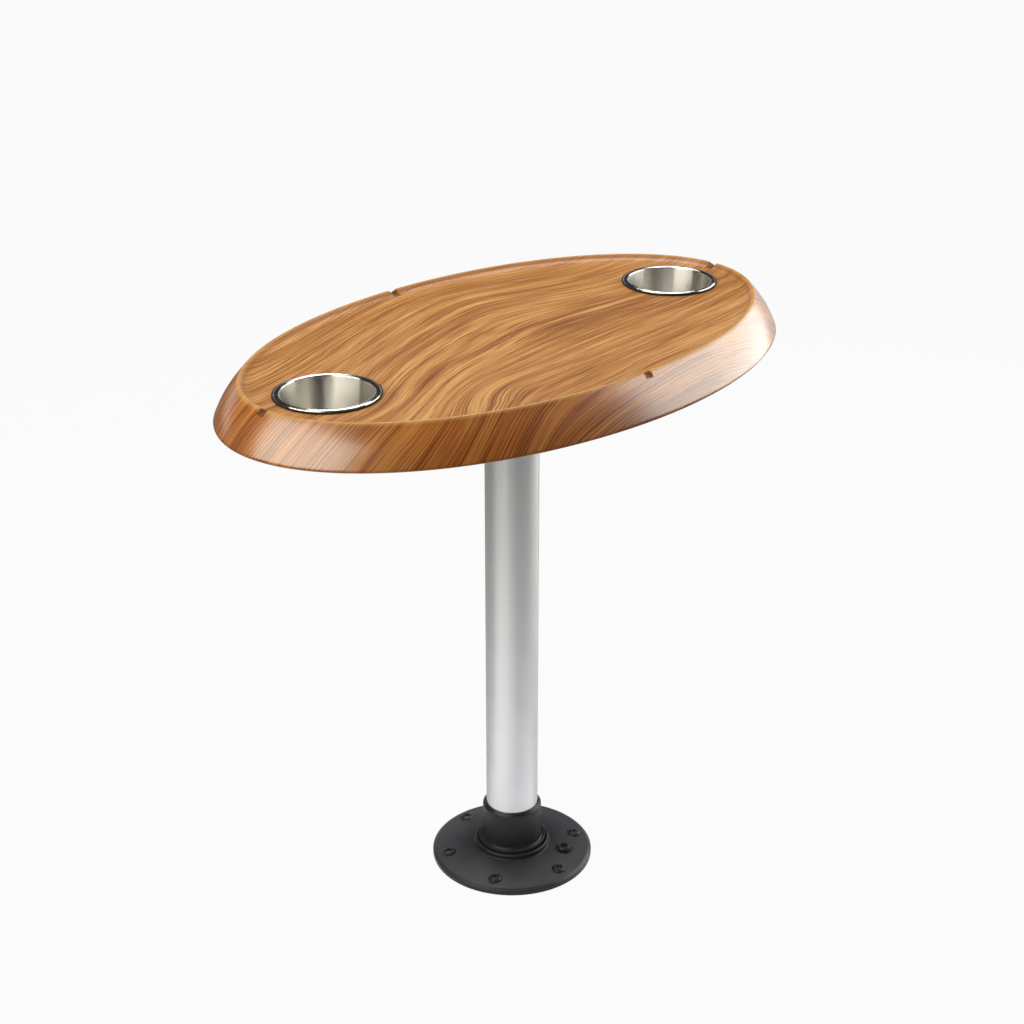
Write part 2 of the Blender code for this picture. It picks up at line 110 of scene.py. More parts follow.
ORIGIN = (0.0, 0.0, 0.0)
LEVEL = (1.0, 1.0, 0.0)
WHITE = (1.0, 1.0, 1.0)
BARE_STEEL = (0.20, 0.20, 0.205)
FLOOR_LEVEL = -0.0003
FLOOR_LINES = 9

# Bearings go from the view's far side to its right; angles in degrees, sizes in metres.
LAMPS = {
    "right_softbox": {"bearing": 66.0, "elevation": 14.0, "roll": -25.0, "distance": 1.7,
                      "size": (1.8, 1.25), "radiance": 3.3, "tint": (1.0, 0.975, 0.90)},
    "left_softbox": {"bearing": -133.0, "elevation": 26.0, "roll": 0.0, "distance": 1.6,
                     "size": (1.8, 1.2), "radiance": 3.5, "tint": (1.0, 0.955, 0.80)},
    "top_softbox": {"bearing": 6.0, "elevation": 66.0, "roll": 0.0, "distance": 1.8,
                    "size": (1.4, 1.2), "radiance": 6.0, "tint": WHITE},
}

BOARD_LOW, BOARD_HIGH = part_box("table_top")
CUP_LOW, CUP_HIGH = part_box("cup_holder_right")
TUBE_LOW, TUBE_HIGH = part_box("post_tube")
SOCKET_LOW, SOCKET_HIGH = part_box("post_socket")
BRACKET_LOW, BRACKET_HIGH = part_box("top_bracket")
FLANGE_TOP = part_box("base_flange")[1].z


def length(label, about, default):
    """A size in metres."""
    return FloatProperty(name=label, description=about, default=default, min=0.0, unit="LENGTH",
                         precision=4)


def angle(label, about, degrees):
    """An angle, given here in degrees."""
    return FloatProperty(name=label, description=about, default=math.radians(degrees), subtype="ANGLE")


def amount(label, about, default, top=10.0):
    """A plain number."""
    return FloatProperty(name=label, description=about, default=default, min=0.0, max=top)


def colour(label, about, default):
    """A linear colour."""
    return FloatVectorProperty(name=label, description=about, default=default, size=3, min=0.0, max=1.0,
                               subtype="COLOR")


class TopSettings(bpy.types.PropertyGroup):
    """Sizes and colours of the wooden top."""
    long_size: length("Length", "Length of the oval at its lower edge", BOARD_HIGH.x - BOARD_LOW.x)
    short_size: length("Width", "Width of the oval at its lower edge", BOARD_HIGH.y - BOARD_LOW.y)
    thickness: length("Thickness", "From the underside to the crest of the lip", BOARD_HIGH.z - BOARD_LOW.z)
    flare: length("Flare", "How far the edge band spreads from crest to underside", 0.0265)
    bulge: length("Bulge", "How far the edge band swells between crest and underside", 0.0028)
    edge_round: length("Lower edge", "Radius of the lower edge", 0.0015)
    edge_flat: length("Lower rim", "Width of the underside's rim inside the band", 0.008)
    lip_height: length("Lip height", "How far the lip stands above the surface", 0.006)
    lip_width: length("Lip width", "Width of the lip's crest", 0.0026)
    lip_cove: length("Lip cove", "Width of the hollow from the lip's crest to the surface", 0.0145)
    lip_round: length("Lip edges", "Radius of the lip's edges", 0.0012)
    notch_width: length("Notch width", "Width of a drain notch at the crest", 0.012)
    notch_floor: length("Notch floor", "Width of a drain notch at its floor", 0.004)
    notch_depth: length("Notch depth", "Depth of a drain notch below the crest", 0.0045)
    ring_gap: length("Ring spacing", "Distance between two growth rings", 0.0030)
    pale: colour("Pale wood", "Early wood between the lines", (0.62, 0.335, 0.114))
    honey: colour("Honey wood", "Main tone", (0.465, 0.204, 0.054))
    brown: colour("Brown wood", "Late wood lines", (0.285, 0.100, 0.022))
    dark: colour("Dark wood", "Pores and the darkest lines", (0.16, 0.050, 0.008))
    # Partly a deeper stain, partly painted shade on the edge band.
    band_stain_and_shade: colour("Edge stain", "How the stain deepens the edge band", (0.95, 0.70, 0.44))


class CupSettings(bpy.types.PropertyGroup):
    """Sizes and colours of the cups and their seals."""
    offset: length("Offset", "Distance of a cup's axis from the middle", (CUP_HIGH.x + CUP_LOW.x) / 2)
    rim_radius: length("Rim radius", "Outer radius of the rim", 0.053)
    rim_width: length("Rim width", "How far the rim reaches beyond the wall", 0.0055)
    rim_height: length("Rim height", "Height of the domed rim", 0.0019)
    wall: length("Wall", "Thickness of the sheet", 0.001)
    taper: length("Taper", "How much the foot is narrower than the mouth", 0.004)
    corner: length("Corner", "Radius between wall and floor", 0.006)
    play: length("Play", "Gap between the cup and its hole", 0.0008)
    seal: length("Seal", "Thickness of the rubber seal", 0.0012)
    seal_show: length("Seal edge", "Width of the seal's edge round the rim", 0.0012)
    seal_lip: length("Seal lip", "How far the seal's edge rises round the rim", 0.0009)
    steel: colour("Steel", "Brushed stainless steel", (0.74, 0.72, 0.68))
    rubber: colour("Rubber", "Black seal", (0.014, 0.013, 0.012))
    rubber_wear: colour("Worn rubber", "Scuffed edges of a seal", (0.04, 0.04, 0.04))


class PostSettings(bpy.types.PropertyGroup):
    """Sizes and colours of the tube and its plugs."""
    radius: length("Radius", "Outer radius of the tube", (TUBE_HIGH.x - TUBE_LOW.x) / 2)
    wall: length("Wall", "Wall of the tube", 0.002)
    cap: length("Cap", "Thickness of a plug's cap", 0.003)
    stem: length("Stem", "Length of a plug inside the tube", 0.030)
    plug_wall: length("Plug wall", "Wall of a plug", 0.009)
    crown: length("Crown", "Thickness of a plug behind its cap", 0.004)
    key_length: length("Key length", "Length of a plug's key", 0.030)
    key_width: length("Key width", "Width of a plug's key", 0.008)
    key_height: length("Key height", "Height of a plug's key", 0.005)
    aluminium: colour("Aluminium", "Satin anodised aluminium", (0.85, 0.86, 0.88))


class BaseSettings(bpy.types.PropertyGroup):
    """Sizes and colours of the deck flange, the collar and the fasteners."""
    radius: length("Flange radius", "Outer radius of the flange", 0.094)
    thickness: length("Flange thickness", "Height of the flange under the fasteners", 0.009)
    rim: length("Flange rim", "Height of the flange at its rim", 0.0052)
    bevel: length("Flange bevel", "Width of the bevel round the flange", 0.0036)
    shoulder: length("Flange shoulder", "Height of the flange inside its bevel", 0.0078)
    cone: length("Flange cone", "Height of the flange at the foot of the raised ring", 0.0146)
    hub_radius: length("Hub radius", "Outer radius of the raised ring", 0.0438)
    hub_bore: length("Hub bore", "Inner radius of the raised ring", 0.0397)
    hub_fillet: length("Hub fillet", "Radius between cone and raised ring", 0.0016)
    web_high: length("Web top", "Height of the web's upper face", 0.012)
    web_low: length("Web underside", "Height of the web's lower face", 0.006)
    recess: length("Recess", "Radius of the recess under the web", 0.036)
    bore: length("Collar bore", "Inner radius of the collar", 0.0303)
    mouth: length("Collar mouth", "Width of the flat on the collar's upper edge", 0.0012)
    collar: length("Collar radius", "Outer radius of the collar", 0.0342)
    foot: length("Foot radius", "Outer radius of the collar's foot", 0.039)
    foot_low: length("Foot underside", "Height of the foot's underside", 0.0142)
    foot_thickness: length("Foot thickness", "Height of the foot with its bead", 0.0096)
    bead: length("Foot bead", "Radius of the bead on the foot", 0.0012)
    chamfer: length("Collar chamfer", "Height of the bevel on the collar's upper edge", 0.0028)
    fillet: length("Foot fillet", "Radius between foot and collar", 0.003)
    floor: length("Socket floor", "Height of the socket's floor", 0.018)
    spigot: length("Spigot", "Radius of the spigot below the foot", 0.027)
    groove: length("Groove", "Depth of the groove for the ring", 0.0015)
    drain: length("Drain", "Radius of the drain hole", 0.005)
    screw_circle: length("Screw circle", "Radius of the circle of screws", 0.077)
    screw_count: IntProperty(name="Screws", description="Number of screws in a circle", default=6, min=1)
    head_radius: length("Screw head", "Radius of a screw head", 0.0076)
    head_height: length("Screw head height", "Height of a screw head", 0.004)
    shank: length("Screw shank", "Radius of a screw's shank", 0.003)
    bolt_circle: length("Bolt distance", "Distance of the deck bolt from the axis", 0.0635)
    bolt_turn: angle("Bolt angle", "Place of the deck bolt round the flange", -60)
    bolt_head: length("Bolt head", "Radius of the bolt's head", 0.0075)
    bolt_height: length("Bolt head height", "Height of the bolt's head", 0.005)
    bolt_hex: length("Bolt socket", "Radius of the hexagon in the bolt's head", 0.0042)
    bolt_shank: length("Bolt shank", "Radius of the bolt", 0.004)
    washer: length("Washer", "Radius of the bolt's washer", 0.0095)
    nylon: colour("Nylon", "Black moulded nylon", (0.017, 0.0185, 0.024))
    # Dust and scuffed edges, and also painted light from above and a painted highlight on the edges of the
    # black nylon.
    dust_and_light: colour("Dust", "Dust and scuffed edges on the black nylon", (0.088, 0.093, 0.110))
    coating: colour("Coating", "Black coating of the screws", (0.026, 0.026, 0.028))


class BracketSettings(bpy.types.PropertyGroup):
    """Sizes and colours of the bracket under the top."""
    radius: length("Flange radius", "Radius of the bracket's flange", 0.085)
    thickness: length("Flange thickness", "Thickness of the bracket's flange", 0.006)
    ceiling: length("Ceiling", "Thickness above the post", 0.009)
    socket: length("Socket radius", "Outer radius of the socket", 0.0365)
    bore: length("Socket bore", "Inner radius of the socket", 0.033)
    fillet: length("Fillet", "Radius between flange and socket", 0.008)
    sleeve_bore: length("Sleeve bore", "Inner radius of the nylon sleeve", 0.0303)
    sleeve_radius: length("Sleeve radius", "Outer radius of the nylon sleeve", 0.0327)
    screw_circle: length("Screw circle", "Radius of the circle of screws", 0.070)
    nylon: colour("Natural nylon", "Sleeve and washer", (0.68, 0.655, 0.585))
    nylon_wear: colour("Worn nylon", "Scuffed edges of sleeve and washer", (0.74, 0.72, 0.66))
    brass: colour("Brass", "Threaded inserts", (0.60, 0.43, 0.17))


class StageSettings(bpy.types.PropertyGroup):
    """Camera, lamps and floor."""
    distance: length("Camera distance", "Level distance of the camera from the post", 1.9504)
    height: length("Camera height", "Height of the camera above the deck", 1.3214)
    heading: angle("Camera heading", "Turn of the view from +Y towards +X", 45.23)
    pitch: angle("Camera pitch", "How far the camera looks down", 24.27)
    lens: FloatProperty(name="Lens", description="Focal length", default=68.30, unit="CAMERA")
    sensor: FloatProperty(name="Sensor", description="Width of the sensor", default=36.0, unit="CAMERA")
    floor_size: length("Floor", "Half the size of the floor", 30.0)
    floor_tone: colour("Floor tone", "Colour of the floor", (0.42, 0.42, 0.42))
    floor_glow: amount("Floor glow", "How far the floor is paper white to the camera", 0.95, 1.0)
    floor_mirror: amount("Floor in metal", "How far the floor is paper white in reflections", 1.0, 1.0)
    floor_pool: length("Bright floor", "Distance at which the floor grows dim in reflections", 0.95)
    floor_turn: angle("Lit floor", "Bearing of the floor's lit part", -150)
    ambient: amount("Room light", "Light from all round", 0.08)
    backdrop: amount("Backdrop", "Brightness of the backdrop in reflections", 1.0)
    room: amount("Room", "Brightness of the room above and behind the camera in reflections", 0.035)
    screen_turn: angle("Dark screen", "Bearing of a dark screen", 152)


def corner_arc(before, corner, after, radius):
    """Round a corner: the arc of a circle of that radius which touches both sides."""
    first = (before - corner) / np.linalg.norm(before - corner)
    second = (after - corner) / np.linalg.norm(after - corner)
    half = math.acos(float(np.clip(first @ second, -1.0, 1.0))) / 2
    bisector = (first + second) / np.linalg.norm(first + second)
    centre = corner + bisector * radius / math.sin(half)
    reach = radius / math.tan(half)
    start = corner + first * reach - centre
    end = corner + second * reach - centre
    sweep = math.pi - 2 * half
    share = np.linspace(0.0, 1.0, ARC_STEPS + 1)[:, None]
    return centre + (np.sin((1 - share) * sweep) * start + np.sin(share * sweep) * end) / math.sin(sweep)


def held(points, closed):
    """Add a point close to both ends of every long side, so that shading stays flat between them."""
    after = np.roll(points, -1, axis=0)
    side = after - points
    size = np.linalg.norm(side, axis=1, keepdims=True)
    step = HOLD * side / np.maximum(size, MERGE)
    stack = np.stack((points, points + step, after - step), axis=1)
    long = size[:, 0] > LONG_SIDE
    if not closed:
        long[-1] = False
    keep = np.stack((np.full(len(points), True), long, long), axis=1)
    return stack[keep]


def outline(corners, closed=True):
    """An outline of (radius, height, rounding) corners: straight sides joined by arcs."""
    places = np.array([corner[:2] for corner in corners], float)
    count = len(places)
    runs = []
    for i, corner in enumerate(corners):
        inner = closed or 0 < i < count - 1
        if inner and corner[2] > 0.0:
            runs.append(corner_arc(places[i - 1], places[i], places[(i + 1) % count], corner[2]))
        else:
            runs.append(places[i:i + 1])
    return held(np.concatenate(runs), closed)


def unrounded(radii, heights):
    """Corners without rounding, for the points of a curve."""
    return [(radius, height, 0.0) for radius, height in zip(radii, heights)]


def turned(points, closed=True, steps=TURN_STEPS):
    """Carry an outline round Z: (r cos a, r sin a, h) for every outline point and angle."""
    turn = np.linspace(0.0, 2 * math.pi, steps, endpoint=False)[:, None]
    radius, height = points.T
    grid = np.stack((radius * np.cos(turn), radius * np.sin(turn), height + 0 * turn), axis=-1)
    return grid, True, closed


def bar(long_size, wide, low, high, rounding=0.0008):
    """A key: a rounded rectangle, (|x|/a)^8 + (|y|/b)^8 = 1, carried up, drawn in at both ends."""
    turn = np.linspace(0.0, 2 * math.pi, BAR_STEPS, endpoint=False)
    power = 2 / 8
    x = np.sign(np.cos(turn)) * np.abs(np.cos(turn)) ** power
    y = np.sign(np.sin(turn)) * np.abs(np.sin(turn)) ** power
    bend = 0.3 * rounding
    inset = np.array([1.0, rounding, bend, 0.0, 0.0, bend, rounding, 1.0])
    rise = np.array([0.0, 0.0, bend, rounding, -rounding, -bend, 0.0, 0.0])
    height = np.repeat((low, high), 4) + rise
    across = np.maximum(long_size / 2 - inset, 0.0)
    along = np.maximum(wide / 2 - inset, 0.0)
    grid = np.stack((x[:, None] * across, y[:, None] * along, height + 0 * x[:, None]), axis=-1)
    return grid, True, False


def key_slot(post, level):
    """A cutter for a plug's key, as deep below a face as above it."""
    depth = post.key_height + FIT
    return bar(post.key_length + 2 * FIT, post.key_width + 2 * FIT, level - depth, level + depth, 0.0003)


def placed(shell, offset=ORIGIN, turn=0.0, flip=False):
    """A shell turned round Z, put upside down where asked, and moved."""
    grid, rows, columns = shell
    cosine = math.cos(turn)
    sine = math.sin(turn)
    spin = np.array([[cosine, -sine, 0.0], [sine, cosine, 0.0], [0.0, 0.0, 1.0]])
    side = np.array([1.0, -1.0, -1.0]) if flip else np.ones(3)
    return (grid * side) @ spin.T + np.array(offset), rows, columns


def circle_spots(radius, count, first):
    """Places (x, y) evenly round a circle."""
    turn = first + np.arange(count) * 2 * math.pi / count
    return np.stack((radius * np.cos(turn), radius * np.sin(turn)), axis=-1)


def deck_screw_spots(base):
    """Places of the flange's screws, half a step round from +X."""
    return circle_spots(base.screw_circle, base.screw_count, math.pi / base.screw_count)


def bolt_spot(base):
    """Place of the deck bolt."""
    return circle_spots(base.bolt_circle, 1, base.bolt_turn)[0]


def grid_faces(rows, columns, wrap_rows, wrap_columns):
    """Corner numbers of the four-sided faces between neighbouring rows and columns of a grid."""
    i = np.arange(rows if wrap_rows else rows - 1)
    j = np.arange(columns if wrap_columns else columns - 1)
    i, j = np.meshgrid(i, j, indexing="ij")
    following = (i + 1) % rows
    across = (j + 1) % columns
    corners = (i * columns + j, following * columns + j, following * columns + across, i * columns + across)
    return np.stack(corners, axis=-1).reshape(-1, 4)


def closed_mesh(name, shells):
    """One mesh of several grids, with seams and poles merged and faces pointing outwards."""
    vertices = []
    faces = []
    start = 0
    for grid, wrap_rows, wrap_columns in shells:
        rows, columns = grid.shape[:2]
        vertices.append(grid.reshape(-1, 3))
        faces.append(grid_faces(rows, columns, wrap_rows, wrap_columns) + start)
        start += rows * columns
    mesh = bpy.data.meshes.new(name)
    mesh.from_pydata(np.concatenate(vertices), [], np.concatenate(faces))
    body = bmesh.new()
    body.from_mesh(mesh)
    bmesh.ops.remove_doubles(body, verts=body.verts, dist=MERGE)
    bmesh.ops.recalc_face_normals(body, faces=body.faces)
    body.to_mesh(mesh)
    body.free()
    return mesh


def cut(piece, shells):
    """Take shells out of a piece for good."""
    tool = bpy.data.objects.new("tool", closed_mesh("tool", shells))
    bpy.context.scene.collection.objects.link(tool)
    modifier = piece.modifiers.new("cut", "BOOLEAN")
    modifier.operation = "DIFFERENCE"
    modifier.solver = "EXACT"
    modifier.object = tool
    bpy.context.view_layer.update()
    graph = bpy.context.evaluated_depsgraph_get()
    finished = bpy.data.meshes.new_from_object(piece.evaluated_get(graph))
    piece.modifiers.clear()
    piece.data = finished
    bpy.data.objects.remove(tool)
    if not finished.polygons:
        raise RuntimeError(f"cutting {piece.name} left nothing")


def finish(name):
    """A material that an earlier step has made."""
    material = bpy.data.materials.get(name)
    if material is None:
        raise RuntimeError(f"the finish {name} has not been made yet")
    return material


def make_piece(name, shells, look, body, node, cuts=()):
    """A finished piece that rides on a body and stands for a CAD node."""
    piece = bpy.data.objects.new(name, closed_mesh(name, shells))
    bpy.context.scene.collection.objects.link(piece)
    if cuts:
        cut(piece, cuts)
    piece.data.shade_smooth()
    piece.data.set_sharp_from_angle(angle=SHARP)
    piece.data.materials.clear()
    piece.data.materials.append(finish(look))
    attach(piece, body)
    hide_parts(node)


class Field:
    """A value over a surface: one node's output. Arithmetic with it adds the nodes that work it out."""

    def __init__(self, socket):
        self.socket = socket
        self.tree = socket.id_data

    def __add__(self, other):
        return calc("ADD", self, other)

    def __sub__(self, other):
        return calc("SUBTRACT", self, other)

    def __rsub__(self, other):
        return calc("SUBTRACT", other, self)

    def __mul__(self, other):
        return calc("MULTIPLY", self, other)

    def __truediv__(self, other):
        return calc("DIVIDE", self, other)

    def __rpow__(self, other):
        return calc("POWER", other, self)


def fill(node, inputs):
    """Fill a node's inputs: a field is linked, a number or a colour is written into its socket."""
    for key, value in inputs.items():
        socket = node.inputs[key]
        if isinstance(value, Field):
            value.tree.links.new(value.socket, socket)
        elif socket.type == "RGBA":
            socket.default_value = (*value, 1.0)
        else:
            socket.default_value = value


def add_node(tree, kind, inputs, **settings):
    """A shader node with its settings and inputs."""
    node = tree.nodes.new("ShaderNode" + kind)
    for key, value in settings.items():
        setattr(node, key, value)
    fill(node, inputs)
    return node


def add(tree, kind, inputs, output=0, **settings):
    """One output of a new shader node."""
    return Field(add_node(tree, kind, inputs, **settings).outputs[output])


def calc(operation, *values):
    """One Math node, or one VectorMath node where the values are vectors."""
    known = next(value for value in values if isinstance(value, Field))
    kind = "VectorMath" if known.socket.type == "VECTOR" else "Math"
    output = "Value" if operation in ("LENGTH", "DOT_PRODUCT") else 0
    return add(known.tree, kind, dict(enumerate(values)), output, operation=operation)


def split(place):
    """The x, y and z of a vector."""
    return [Field(socket) for socket in add_node(place.tree, "SeparateXYZ", {0: place}).outputs]


def joined(x, y, z):
    """A vector of three values."""
    return add(x.tree, "CombineXYZ", {0: x, 1: y, 2: z})


def centred(place, centre):
    """A place measured from a centre."""
    return add(place.tree, "Mapping", {"Vector": place, "Location": [-value for value in centre]})


def axis_distance(place):
    """Distance from the Z axis."""
    return calc("LENGTH", place * LEVEL)


def remap(value, low, high, new_low=0.0, new_high=1.0, kind="LINEAR"):
    """Spread the range from low to high over a new one, and hold its ends."""
    inputs = {"Value": value, "From Min": low, "From Max": high, "To Min": new_low, "To Max": new_high}
    return add(value.tree, "MapRange", inputs, interpolation_type=kind)


def ease(value, *ends):
    """The same with a soft start and end."""
    return remap(value, *ends, kind="SMOOTHSTEP")


def noise(place, detail=2.0, roughness=0.5, scale=1.0):
    """Soft noise from 0 to 1."""
    inputs = {"Vector": place, "Scale": scale, "Detail": detail, "Roughness": roughness}
    return add(place.tree, "TexNoise", inputs)


def mix(share, first, second):
    """A number between two others."""
    return add(share.tree, "Mix", {0: share, 2: first, 3: second}, data_type="FLOAT")


def mix_colour(share, first, second, blend="MIX"):
    """A colour between two others, or the first one stained by the second."""
    return add(share.tree, "Mix", {0: share, 6: first, 7: second}, 2, data_type="RGBA", blend_type=blend)


def scaled(tint, factor):
    """A lighter or darker colour."""
    return [min(1.0, factor * value) for value in tint]


def ramp(share, stops):
    """A colour ramp through (place, colour) stops."""
    node = add_node(share.tree, "ValToRGB", {0: share})
    band = node.color_ramp
    while len(band.elements) < len(stops):
        band.elements.new(1.0)
    for element, (place, tint) in zip(band.elements, stops):
        element.position = place
        element.color = (*tint, 1.0)
    return Field(node.outputs[0])


def relief(height, depth):
    """The normal of a surface with a relief of that depth in metres."""
    return add(height.tree, "Bump", {"Height": height, "Distance": depth})


def new_group(name, inputs, outputs):
    """A node group with named sockets; returns its inputs as fields, and its output node."""
    tree = bpy.data.node_groups.new(name, "ShaderNodeTree")
    for label, default in inputs.items():
        kind = "NodeSocketFloat" if isinstance(default, float) else "NodeSocketVector"
        socket = tree.interface.new_socket(label, in_out="INPUT", socket_type=kind)
        socket.default_value = default
    for label, kind in outputs.items():
        tree.interface.new_socket(label, in_out="OUTPUT", socket_type="NodeSocket" + kind)
    start = tree.nodes.new("NodeGroupInput")
    return [Field(start.outputs[label]) for label in inputs], tree.nodes.new("NodeGroupOutput")


def use_group(name, place, **inputs):
    """One use of a node group in a material; returns its output, or all where it has several."""
    node = add_node(place.tree, "Group", {}, node_tree=bpy.data.node_groups[name])
    fill(node, {"Vector": place, **inputs})
    outputs = [Field(socket) for socket in node.outputs]
    return outputs if len(outputs) > 1 else outputs[0]


def make_streaks_group():
    """Long thin streaks: noise on coordinates that are stretched by a different factor each way."""
    inputs = {"Vector": ORIGIN, "Stretch": (1.0, 1.0, 1.0), "Detail": 2.0}
    (place, stretch, detail), end = new_group("streaks", inputs, {"Streak": "Float"})
    fill(end, {"Streak": remap(noise(place * stretch, detail, 0.6), 0.3, 0.7)})


def make_handling_group():
    """Soft patches from touching and wiping: two sizes of noise, spread to a low and a high value."""
    inputs = {"Vector": ORIGIN, "Size": 20.0, "Low": 0.0, "High": 1.0}
    (place, size, low, high), end = new_group("handling", inputs, {"Value": "Float"})
    broad = noise(place, 3.0, 0.55, size)
    fine = noise(place, 2.0, 0.6, size * 7.0)
    fill(end, {"Value": remap(broad * 0.7 + fine * 0.3, 0.36, 0.64, low, high)})


def make_wear_and_highlight_group():
    """Wear on outer edges, which on the black nylon also stands for a painted highlight: where the surface
    is sharply convex, broken up by noise.
    """
    inputs = {"Vector": ORIGIN, "Size": 400.0, "Start": 0.53, "Full": 0.60}
    (place, size, start, full), end = new_group("edge_wear_and_highlight", inputs, {"Mask": "Float"})
    convex = add(place.tree, "NewGeometry", {}, "Pointiness")
    patches = (noise(place, 3.0, 0.6, size) - 0.5) * 0.06
    fill(end, {"Mask": ease(convex + patches, start, full)})


def make_skin_group():
    """The fine pebbled skin of a moulded piece, with a few deeper specks."""
    (place, size), end = new_group("moulded_skin", {"Vector": ORIGIN, "Size": 1400.0}, {"Height": "Float"})
    pebbles = noise(place, 2.0, 0.5, size)
    specks = remap(noise(place, 1.0, 0.5, size * 0.3), 0.66, 0.74)
    fill(end, {"Height": pebbles - specks * 0.6})


def make_round_group():
    """Coordinates of a turned piece: distance from its axis, height, and the cosine of its bearing."""
    [place], end = new_group("round_place", {"Vector": ORIGIN}, {"Place": "Vector"})
    x, y, z = split(place)
    bearing = calc("ARCTAN2", y, x)
    fill(end, {"Place": joined(axis_distance(place), z, calc("COSINE", bearing))})


def make_rings_group():
    """Growth layers of the board as a solid pattern, so that lines run on from the top down the edge.

    The layers stand nearly upright. Their number is y less a slow rise and fall along x, less a hill
    that closes them into a tongue, plus a lean times z, bent by noise of three sizes, over the spacing.
    Flow gives the place along and across the layers, for fibres that follow them.
    """
    inputs = {"Vector": ORIGIN, "Spacing": 0.004}
    outputs = {"Line": "Float", "Tone": "Float", "Flow": "Vector"}
    (place, spacing), end = new_group("wood_rings", inputs, outputs)
    lean = 0.38
    lean_level = 0.444
    hill_centre = (-0.115, -0.108, 0.649)
    hill_height = 0.014
    hill_fall = 0.3679
    x, y, z = split(place)
    near = x * 0.12 + ease(x, -0.27, -0.10, 0.0, 0.045)
    far = ease(x, -0.35, 0.06, 0.0, 0.10) - ease(x, 0.02, 0.22, 0.0, 0.035)
    rise = mix(ease(y, -0.13, 0.13), near, far)
    hill = centred(place, hill_centre) * (9.0, 32.0, 0.0)
    hill = hill_fall ** calc("DOT_PRODUCT", hill, hill)
    across = (z - lean_level) * lean + (y - rise) - hill * hill_height
    slow = noise(place * (3.0, 9.0, 4.0), roughness=0.4)
    quick = noise(place * (12.0, 40.0, 12.0))
    shake = noise(place * (50.0, 170.0, 50.0))
    for bend, reach in ((slow, 0.014), (quick, 0.0045), (shake, 0.0010)):
        across = (bend - 0.5) * reach + across
    flow = joined(x, across, z * 0.2)
    uneven = noise(flow * (1.5, 60.0, 1.0)) * 2.6
    share = calc("FRACT", uneven + across / spacing)
    stops = ((0.0, 0.0), (0.42, 0.04), (0.64, 0.72), (0.80, 1.0), (0.92, 0.80), (1.0, 0.0))
    line = ramp(share, [(stop, (value, value, value)) for stop, value in stops])
    fade = remap(noise(flow * (3.0, 90.0, 3.0)), 0.38, 0.60, 0.18, 1.0)
    tone = noise(flow * (1.8, 70.0, 2.0), 3.0, 0.55)
    fill(end, {"Line": line * fade, "Tone": remap(tone, 0.30, 0.70), "Flow": flow})


def new_finish(name):
    """A new material; returns its shader and the place on its piece."""
    material = bpy.data.materials.new(name)
    if material.name != name:
        raise RuntimeError(f"a material called {name} is there already")
    material.use_nodes = True
    tree = material.node_tree
    return tree.nodes["Principled BSDF"], add(tree, "TexCoord", {}, "Object")


def wood_finish(top):
    """Varnished honey-coloured wood: layers, fibres, pores, an edge band stained deeper and darkened by
    painted shade, a pale crest of wear and a painted highlight, and painted shade in the drain notches, on
    the lip's steep inner face and along the lower edge.

    The oval is 1 along the lip's crest; outside it lies the band, which has the full clear coat.
    """
    shader, place = new_finish("varnished_wood")
    height = split(place)[2]
    crest = BOARD_LOW.z + top.thickness
    surface = crest - top.lip_height
    long_half = top.long_size / 2 - top.flare
    short_half = top.short_size / 2 - top.flare
    oval = calc("LENGTH", place * (1 / long_half, 1 / short_half, 0.0))
    outer = remap(oval, 1.0, 1.012)
    inside = remap(oval, 0.995, 0.975)
    line, tone, flow = use_group("wood_rings", place, Spacing=top.ring_gap)
    fibre = use_group("streaks", flow, Stretch=(5.0, 190.0, 4.0))
    hair = use_group("streaks", flow, Stretch=(11.0, 430.0, 8.0))
    pores = ease(use_group("streaks", flow, Stretch=(16.0, 800.0, 16.0), Detail=1.0), 0.62, 0.92)
    grain = line * remap(outer, 0.0, 1.0, 0.27, 0.32) + tone * 0.22 + fibre * 0.40 + hair * 0.36
    tint = ramp(grain, [(0.30, top.pale), (0.54, top.honey), (0.77, top.brown), (0.96, top.dark)])
    tint = mix_colour(pores * 0.5, tint, top.dark)
    # The band is stained deeper, and is also darkened here as painted shade.
    tint = mix_colour(outer, tint, top.band_stain_and_shade, "MULTIPLY")
    # Pale crest: wear, and a painted highlight along the lip's rounded edge.
    crest_wear_and_highlight = ease(height, crest - 0.0028, crest - 0.0004, 0.0, 0.5)
    # Painted shade inside the drain notches; the same mask also thins the clear coat there.
    along, across, _ = split(calc("ABSOLUTE", place))
    shaded_notch = ease(calc("MINIMUM", along, across), 0.0060, 0.0042)
    shaded_notch = shaded_notch * remap(height, crest - 0.0056, crest - 0.0050)
    # Painted shade on the steep inner face of the lip.
    cove_shade = inside * ease(height, surface + 0.0006, surface + 0.0036, 0.0, 0.7)
    # Painted shade: darker towards the board's lower edge.
    lower_edge_shade = ease(height, BOARD_LOW.z + 0.0030, BOARD_LOW.z + 0.0006, 0.0, 0.6)
    for share, stain in ((crest_wear_and_highlight, top.pale), (shaded_notch, top.dark), (cove_shade, top.brown), (lower_edge_shade, top.dark)):
        tint = mix_colour(share, tint, stain)
    sheen = use_group("handling", place, Size=14.0, Low=0.38, High=0.48)
    fill(shader, {
        "Base Color": tint,
        "Roughness": pores * 0.15 + sheen,
        "Specular IOR Level": 0.22,
        "Coat Weight": remap(outer, 0.0, 1.0, 0.15, 1.0) * (1.0 - shaded_notch),
        "Coat Roughness": 0.24,
        "Coat IOR": 2.0,
        "Normal": relief(pores * -0.7 + grain * -0.5, 0.00009)})


